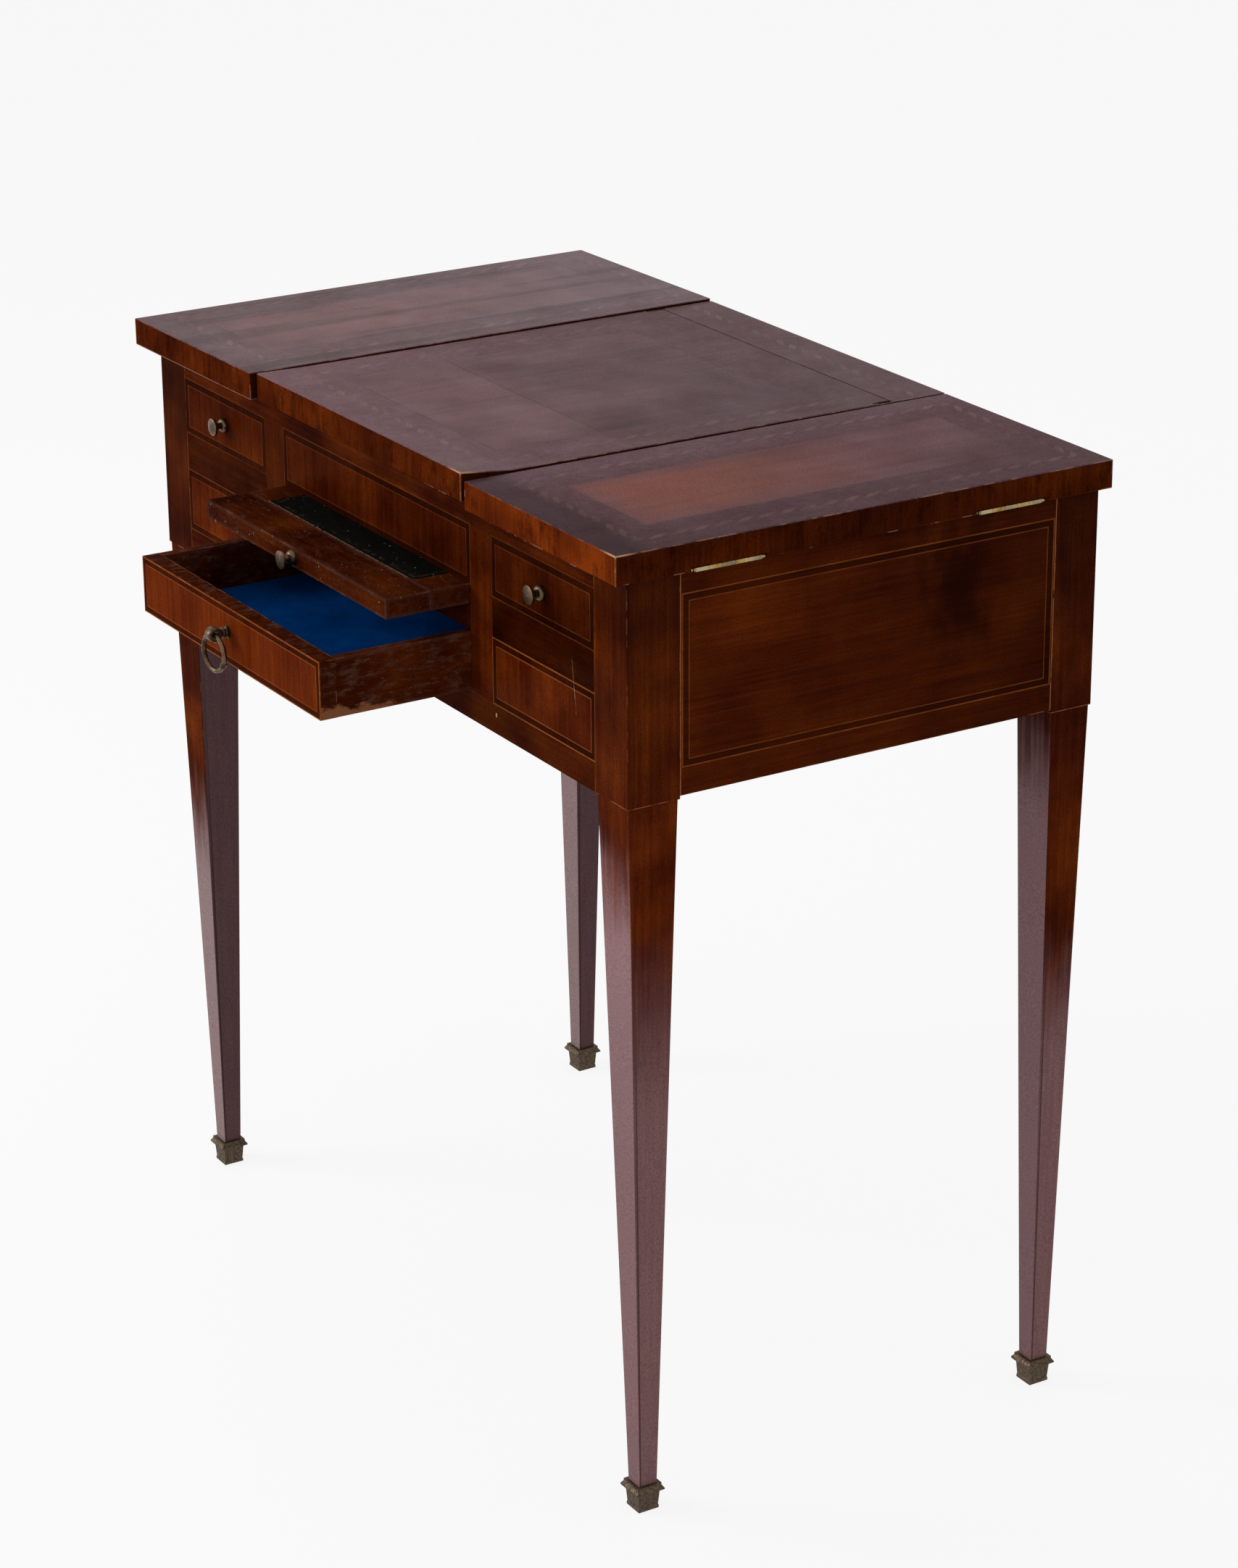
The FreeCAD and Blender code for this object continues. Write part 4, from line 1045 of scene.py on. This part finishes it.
# %% Carcass wood
OAK_STOPS = (0.3, (0.055, 0.024, 0.011)), (0.55, (0.13, 0.064, 0.030)), (0.75, (0.21, 0.115, 0.058))
OAK_PORE = (0.03, 0.014, 0.008)
INSIDE = ["back_panel", "partition_left", "partition_right", "centre_well_floor", "bottom_boards",
          "tray_floors", "well_walls", "slide_bearers", "drawer_runners", "small_drawer_runners",
          "small_drawer_left_box", "small_drawer_right_box", "mirror_frame"]


def carcass():
    finish = Finish("carcass_wood")
    fine = finish.noise(along_grain("x", 320, 7), 4.0, 0.65, 130)
    broad = finish.noise(along_grain("x", 40, 5), 2.0, 0.5, 131)
    patches = finish.noise(9, 2.0, 0.5, 134)
    colour = finish.ramp(fine * 0.5 + broad * 0.3 + patches * 0.2, *OAK_STOPS)
    dark = finish.noise(along_grain("x", 900, 60), 1.0, 0.5, 132).step(0.62, 0.7)
    return polished(finish, finish.paint(colour, OAK_PORE, dark * 0.5), "x", rough=0.7, polish=0.03)


dress(INSIDE, carcass())

# %% [markdown]
# ## Metal
# The knobs, the ring and the hinges are brass. Where hands polish it, it stays bright, and in the
# hollows it goes brown. The shoes are duller and browner, with the grain of a casting. A noise decides
# where the tarnish lies, and tarnished metal is both darker and rougher.

# %% Brass and bronze
# The bright and the dull colour, the least roughness, and patches of tarnish per metre.
METALS = {"brass_bright": ((0.40, 0.32, 0.18), (0.21, 0.15, 0.078), 0.2, 45),
          "brass_gold": ((0.46, 0.31, 0.11), (0.26, 0.165, 0.055), 0.25, 45),
          "brass_plates": ((0.10, 0.066, 0.032), (0.03, 0.018, 0.010), 0.5, 150),
          "brass_handled": ((0.145, 0.090, 0.052), (0.050, 0.031, 0.019), 0.32, 130),
          "brass_screws": ((0.26, 0.185, 0.09), (0.07, 0.045, 0.022), 0.4, 300),
          "shoe_bronze": ((0.120, 0.086, 0.057), (0.072, 0.050, 0.033), 0.5, 500)}
METAL_PARTS = {
    "brass_bright": ["hinge_case_leaves_left", "hinge_case_leaves_right", "hinge_pins_left",
                     "hinge_pins_right"],
    "brass_gold": ["hinge_lid_leaves_left", "hinge_lid_leaves_right"],
    "brass_plates": ["flap_hinge_fixed_plates", "flap_hinge_moving_plates"],
    "brass_handled": ["slide_knob", "pull_stem", "pull_ring", "small_drawer_left_knob",
                      "small_drawer_right_knob"],
    "shoe_bronze": ["leg_shoes"]}
CASTING_RELIEF = 0.04 * MM


def metal(name):
    bright, dull, rough, patches = METALS[name]
    finish = Finish(name)
    tarnish = finish.noise(patches, 4.0, 0.65, 140).step(0.38, 0.64)
    fine = finish.noise(1500, 2.0, 0.6, 141)
    return finish.close(finish.paint(bright, dull, tarnish), Metallic=1.0, Roughness=tarnish * 0.2 + rough,
                        Normal=finish.bump(fine, CASTING_RELIEF))


for name, parts in METAL_PARTS.items():
    dress(parts, metal(name))

# %% [markdown]
# ## Mirror
# The glass is silvered at the back. Old silvering spots first along its edges, so the distance to the
# outline raises the noise there, and more of it passes the level at which a spot shows.

# %% The mirror
SILVER = (0.82, 0.84, 0.83)
SILVER_SPOT = (0.13, 0.11, 0.09)
SPOTTED_RIM = 25 * MM


def mirror():
    low, high = box("mirror_glass")
    finish = Finish("mirror_silver")
    distance = -to_outline(finish.x, finish.y, (low.x, high.x, low.y, high.y))
    spots = finish.noise(90, 4.0, 0.7, 150) + (1 - distance.step(0, SPOTTED_RIM)) * 0.16
    spots = spots.step(0.66, 0.74)
    return finish.close(finish.paint(SILVER, SILVER_SPOT, spots), Metallic=1.0, Roughness=spots * 0.4 + 0.04)


dress(["mirror_glass"], mirror())

# %% [markdown]
# ## Hinge screws
# Each leaf of the outward hinges is held by three slotted screws, sunk flush. They show when a lid is
# turned out. One head is made from a cone: four cuts mark out the slot, whose floor is pressed down.

# %% A slotted screw
SCREW_SIDES = 24
SCREW_RADIUS = 2.5 * MM
SCREW_DEPTH = 1.1 * MM
SCREW_PROUD = 0.05 * MM
SLOT = Vector((2.1, 0.35, 0)) * MM
SLOT_DEPTH = 0.45 * MM


def corners_of(parts):
    return [part for part in parts if isinstance(part, bmesh.types.BMVert)]


def everything(mesh):
    return mesh.verts[:] + mesh.edges[:] + mesh.faces[:]


def screw_head():
    """A slotted head that looks up, its face a hair above nought."""
    mesh = bmesh.new()
    bmesh.ops.create_cone(mesh, cap_ends=True, segments=SCREW_SIDES, radius1=SCREW_RADIUS * 0.6,
                          radius2=SCREW_RADIUS, depth=SCREW_DEPTH)
    bmesh.ops.translate(mesh, vec=(0, 0, SCREW_PROUD - SCREW_DEPTH / 2), verts=mesh.verts)
    for side in (-1, 1):
        for place, facing in (((SLOT.x * side, 0, 0), (side, 0, 0)), ((0, SLOT.y * side, 0), (0, side, 0))):
            bmesh.ops.bisect_plane(mesh, geom=everything(mesh), plane_co=place, plane_no=facing)
    middles = [(face, face.calc_center_median()) for face in mesh.faces]
    slot = [face for face, at in middles if abs(at.x) < SLOT.x and abs(at.y) < SLOT.y and at.z > 0]
    slot_floor = bmesh.ops.extrude_face_region(mesh, geom=slot)
    bmesh.ops.delete(mesh, geom=slot, context="FACES_ONLY")
    bmesh.ops.translate(mesh, vec=(0, 0, -SLOT_DEPTH), verts=corners_of(slot_floor["geom"]))
    return mesh


print("a screw head is", SCREW_RADIUS * 2 / MM, "mm across")

# %% [markdown]
# The other screws are copies of the first, each turned as far as the hand that drove it happened to
# stop. Screws under a lid look down, and those of the left lid are turned up with it by half a degree.
# The first head, which only served as a pattern, is deleted at the end.

# %% The screws of the hinges
LEAF_LENGTH = 55 * MM
SCREW_INSET = 7.5 * MM
SCREW_PITCH = 19 * MM
# How much further each next screw, each next leaf and each metre along the table turn a slot.
SPIN_SCREW, SPIN_LEAF, SPIN_PLACE = 1.9, 0.7, 8
SCREW_BRASS = metal("brass_screws")


def keep(mesh, name, material):
    """Makes a finished bmesh an object of the table."""
    data = bpy.data.meshes.new(name)
    mesh.to_mesh(data)
    mesh.free()
    data.materials.append(material)
    made = bpy.data.objects.new(name, data)
    bpy.context.collection.objects.link(made)
    print(name, "has", len(data.polygons), "faces")
    return made


def hinge_screws(name, leaves, height, looks_down, opened=0.0):
    """The six screws of two leaves on one side; opened turns them up with the left lid."""
    mesh = screw_head()
    head = everything(mesh)
    low, high = box(leaves)
    inner_edge = low.x if low.x > 0 else high.x
    along_x = inner_edge + math.copysign(SCREW_INSET, inner_edge)
    for leaf, middle in enumerate((low.y + LEAF_LENGTH / 2, high.y - LEAF_LENGTH / 2)):
        for count in (-1, 0, 1):
            verts = corners_of(bmesh.ops.duplicate(mesh, geom=head)["geom"])
            spin = Matrix.Rotation(count * SPIN_SCREW + leaf * SPIN_LEAF + low.x * SPIN_PLACE, 3, "Z")
            bmesh.ops.rotate(mesh, cent=(0, 0, 0), matrix=spin, verts=verts)
            if looks_down:
                bmesh.ops.rotate(mesh, cent=(0, 0, 0), matrix=Matrix.Rotation(math.pi, 3, "X"), verts=verts)
            bmesh.ops.translate(mesh, vec=(along_x, middle + count * SCREW_PITCH, height), verts=verts)
    bmesh.ops.delete(mesh, geom=corners_of(head), context="VERTS")
    bmesh.ops.rotate(mesh, cent=(HINGE_X, 0, (height + case_high.z) / 2),
                     matrix=Matrix.Rotation(-opened, 3, "Y"), verts=mesh.verts)
    bmesh.ops.recalc_face_normals(mesh, faces=mesh.faces)
    return keep(mesh, name, SCREW_BRASS)


for side, body, opened in (("left", "left_lid", LEFT_LID_OPEN), ("right", "right_lid", 0.0)):
    case_screws = hinge_screws("hinge_case_screws_" + side, "hinge_case_leaves_" + side, case_high.z, False)
    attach(case_screws, "case")
    lid_screws = hinge_screws("hinge_lid_screws_" + side, "hinge_lid_leaves_" + side, LID_BOTTOM, True, opened)
    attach(lid_screws, body)

# %% [markdown]
# ## Felt and leather
# The drawer is lined with blue felt and the slide with dark green leather. Both are sheets: a grid of
# squares laid on the wood, lifted by a hair here and there, and given its thickness at the end.

# %% A sheet laid on a board
def laid_sheet(node, squares, wave, thickness):
    """A level grid over a node's box, waved a little and given a thickness; also its flat size."""
    low, high = box(node)
    mesh = bmesh.new()
    bmesh.ops.create_grid(mesh, x_segments=squares, y_segments=squares, size=0.5)
    bmesh.ops.scale(mesh, vec=(high.x - low.x, high.y - low.y, 1), verts=mesh.verts)
    bmesh.ops.translate(mesh, vec=((low.x + high.x) / 2, (low.y + high.y) / 2, high.z), verts=mesh.verts)
    for vertex in mesh.verts:
        place = vertex.co
        vertex.co.z += wave * math.sin(place.x * 61 + math.sin(place.y * 37)) * math.sin(place.y * 53)
    bmesh.ops.solidify(mesh, geom=mesh.faces[:], thickness=thickness)
    bmesh.ops.recalc_face_normals(mesh, faces=mesh.faces)
    flat = (high.x - low.x, high.y - low.y)
    print(node, "is replaced by a sheet of", [round(side / MM, 1) for side in flat], "mm")
    return mesh, flat


# %% [markdown]
# Felt is matt and fuzzy: no gloss at all, a relief of tiny hairs, and a blue that is a little paler
# where things have rubbed it. It rests on the drawer's bottom.

# %% Felt
FELT_SQUARES, FELT_WAVE, FELT_THICK = 40, 0.12 * MM, 1.0 * MM
FELT_STOPS = (0.34, (0.0006, 0.032, 0.145)), (0.5, (0.0012, 0.056, 0.25)), (0.66, (0.0024, 0.088, 0.36))


def felt():
    finish = Finish("felt_blue")
    fuzz = finish.noise(1100, 3.0, 0.7, 160)
    worn_patches = finish.noise(18, 3.0, 0.6, 161)
    colour = finish.ramp(fuzz * 0.5 + worn_patches * 0.5, *FELT_STOPS)
    return finish.close(colour, Roughness=0.95, Specular_IOR_Level=0.0, Normal=finish.bump(fuzz, 0.4 * MM))


mesh, flat = laid_sheet("drawer_felt", FELT_SQUARES, FELT_WAVE, FELT_THICK)
lining = keep(mesh, "felt_lining", felt())
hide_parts("drawer_felt")
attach(lining, "centre_drawer")

# %% [markdown]
# The leather is nearly black with age. Its grain is a net of small cells, which a Voronoi node gives
# by the distance to their borders. Two gilt lines, almost gone, run round it and on under the case, so
# they are drawn on a rectangle that reaches further back. The front edge is frayed and dust lies on it.

# %% Leather
LEATHER_SQUARES, LEATHER_WAVE, LEATHER_THICK = 36, 0.03 * MM, 0.7 * MM
LEATHER_STOPS = (0.3, (0.0008, 0.0011, 0.0009)), (0.6, (0.0024, 0.0029, 0.0023)), (0.8, (0.009, 0.008, 0.006))
LEATHER_GILT = (0.21, 0.13, 0.06)
LEATHER_FRAYED = (0.27, 0.18, 0.13)
HIDE_CELLS = 900.0
# How far the two gilt lines lie from the leather's edge and half their width, and how far they run on.
OUTER_GILT, INNER_GILT = (4.5 * MM, 0.35 * MM), (6.5 * MM, 0.2 * MM)
GILT_RUNS_ON = 40 * MM


def leather():
    low, high = box("slide_leather")
    finish = Finish("leather_green")
    cells = {"Vector": finish.place, "Scale": HIDE_CELLS}
    hide = finish.node("TexVoronoi", {"feature": "DISTANCE_TO_EDGE"}, cells)
    tone = finish.noise(60, 4.0, 0.65, 170)
    colour = finish.ramp(tone, *LEATHER_STOPS)
    edge = -to_outline(finish.x, finish.y, (low.x, high.x, low.y, high.y + GILT_RUNS_ON))
    gilt = edge.near(*OUTER_GILT).most(edge.near(*INNER_GILT))
    colour = finish.paint(colour, LEATHER_GILT, gilt * finish.noise(150, 3.0, 0.6, 171).step(0.45, 0.6) * 0.2)
    at_front = 1 - (finish.y - low.y).step(0.4 * MM, 1.4 * MM)
    frayed = at_front * finish.noise(240, 3.0, 0.7, 172).step(0.36, 0.56)
    colour = dusty(finish, finish.paint(colour, LEATHER_FRAYED, frayed * 0.85), 173, 0.7)
    return finish.close(colour, Roughness=tone * 0.3 + 0.45, Specular_IOR_Level=0.03,
                        Normal=finish.bump(hide.step(0, 0.25), 0.1 * MM))


mesh, flat = laid_sheet("slide_leather", LEATHER_SQUARES, LEATHER_WAVE, LEATHER_THICK)
skin = keep(mesh, "leather_panel", leather())
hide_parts("slide_leather")
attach(skin, "writing_slide")

# %% [markdown]
# ## The studio
# The table stands on a pale floor. What the camera, a reflection or a glass sees of it is mostly plain
# white, by a mix of two shaders that the kind of ray decides. The rest is its real surface, which takes
# the table's soft shadow and throws some light up under it.

# %% The floor
WHITE = (1, 1, 1, 1)
FLOOR_PALE = (0.8, 0.8, 0.8, 1)
FLOOR_WHITE = 0.86
FLOOR_HALF = 30


def sees_white(tree):
    """1 for the camera, for reflections and through glass."""
    rays = ["Is Camera Ray", "Is Glossy Ray", "Is Transmission Ray"]
    camera_ray, glossy, through = [tree.node("LightPath", output=ray) for ray in rays]
    return camera_ray.most(glossy).most(through)


def floor_finish():
    finish = Finish("floor_pale")
    pale = finish.node("BsdfDiffuse", {}, {"Color": FLOOR_PALE})
    white = finish.node("Emission", {}, {"Color": WHITE, "Strength": 1.0})
    both = finish.node("MixShader", {}, {0: sees_white(finish) * FLOOR_WHITE, 1: pale, 2: white})
    finish.node("OutputMaterial", {}, {"Surface": both})
    return finish.material


def floor():
    mesh = bmesh.new()
    bmesh.ops.create_grid(mesh, x_segments=1, y_segments=1, size=FLOOR_HALF)
    bmesh.ops.translate(mesh, vec=(0, 0, -0.1 * MM), verts=mesh.verts)
    keep(mesh, "floor", floor_finish())


floor()

# %% [markdown]
# The surroundings are white to the eye, but they light the table at a level where a colour comes out
# as it is mixed. One large soft lamp from the front left shapes the fronts.

# %% World and lamp
WORLD_LEVEL = 0.66
LAMP_POWER = 44.0
LAMP_SIZE = 1.2
LAMP_PLACE, LAMP_AIM = (-1.7, -2.1, 1.5), (0, 0, 0.6)


def world():
    studio = bpy.data.worlds.new("studio")
    bpy.context.scene.world = studio
    studio.use_nodes = True
    tree = Tree(studio.node_tree)
    strength = sees_white(tree) * (1 - WORLD_LEVEL) + WORLD_LEVEL
    surface = tree.node("Background", {}, {"Color": WHITE, "Strength": strength})
    tree.node("OutputWorld", {}, {"Surface": surface})


def lamp(name, place, aim, size, power):
    data = bpy.data.lights.new(name, "AREA")
    data.energy = power
    data.size = size
    made = bpy.data.objects.new(name, data)
    turn = (Vector(aim) - Vector(place)).to_track_quat("-Z", "Y").to_matrix().to_4x4()
    made.matrix_world = Matrix.Translation(place) @ turn
    bpy.context.collection.objects.link(made)


world()
lamp("lamp_left", LAMP_PLACE, LAMP_AIM, LAMP_SIZE, LAMP_POWER)
print("the lamp of", LAMP_POWER, "W is", round((Vector(LAMP_AIM) - Vector(LAMP_PLACE)).length, 2), "m away")

# %% [markdown]
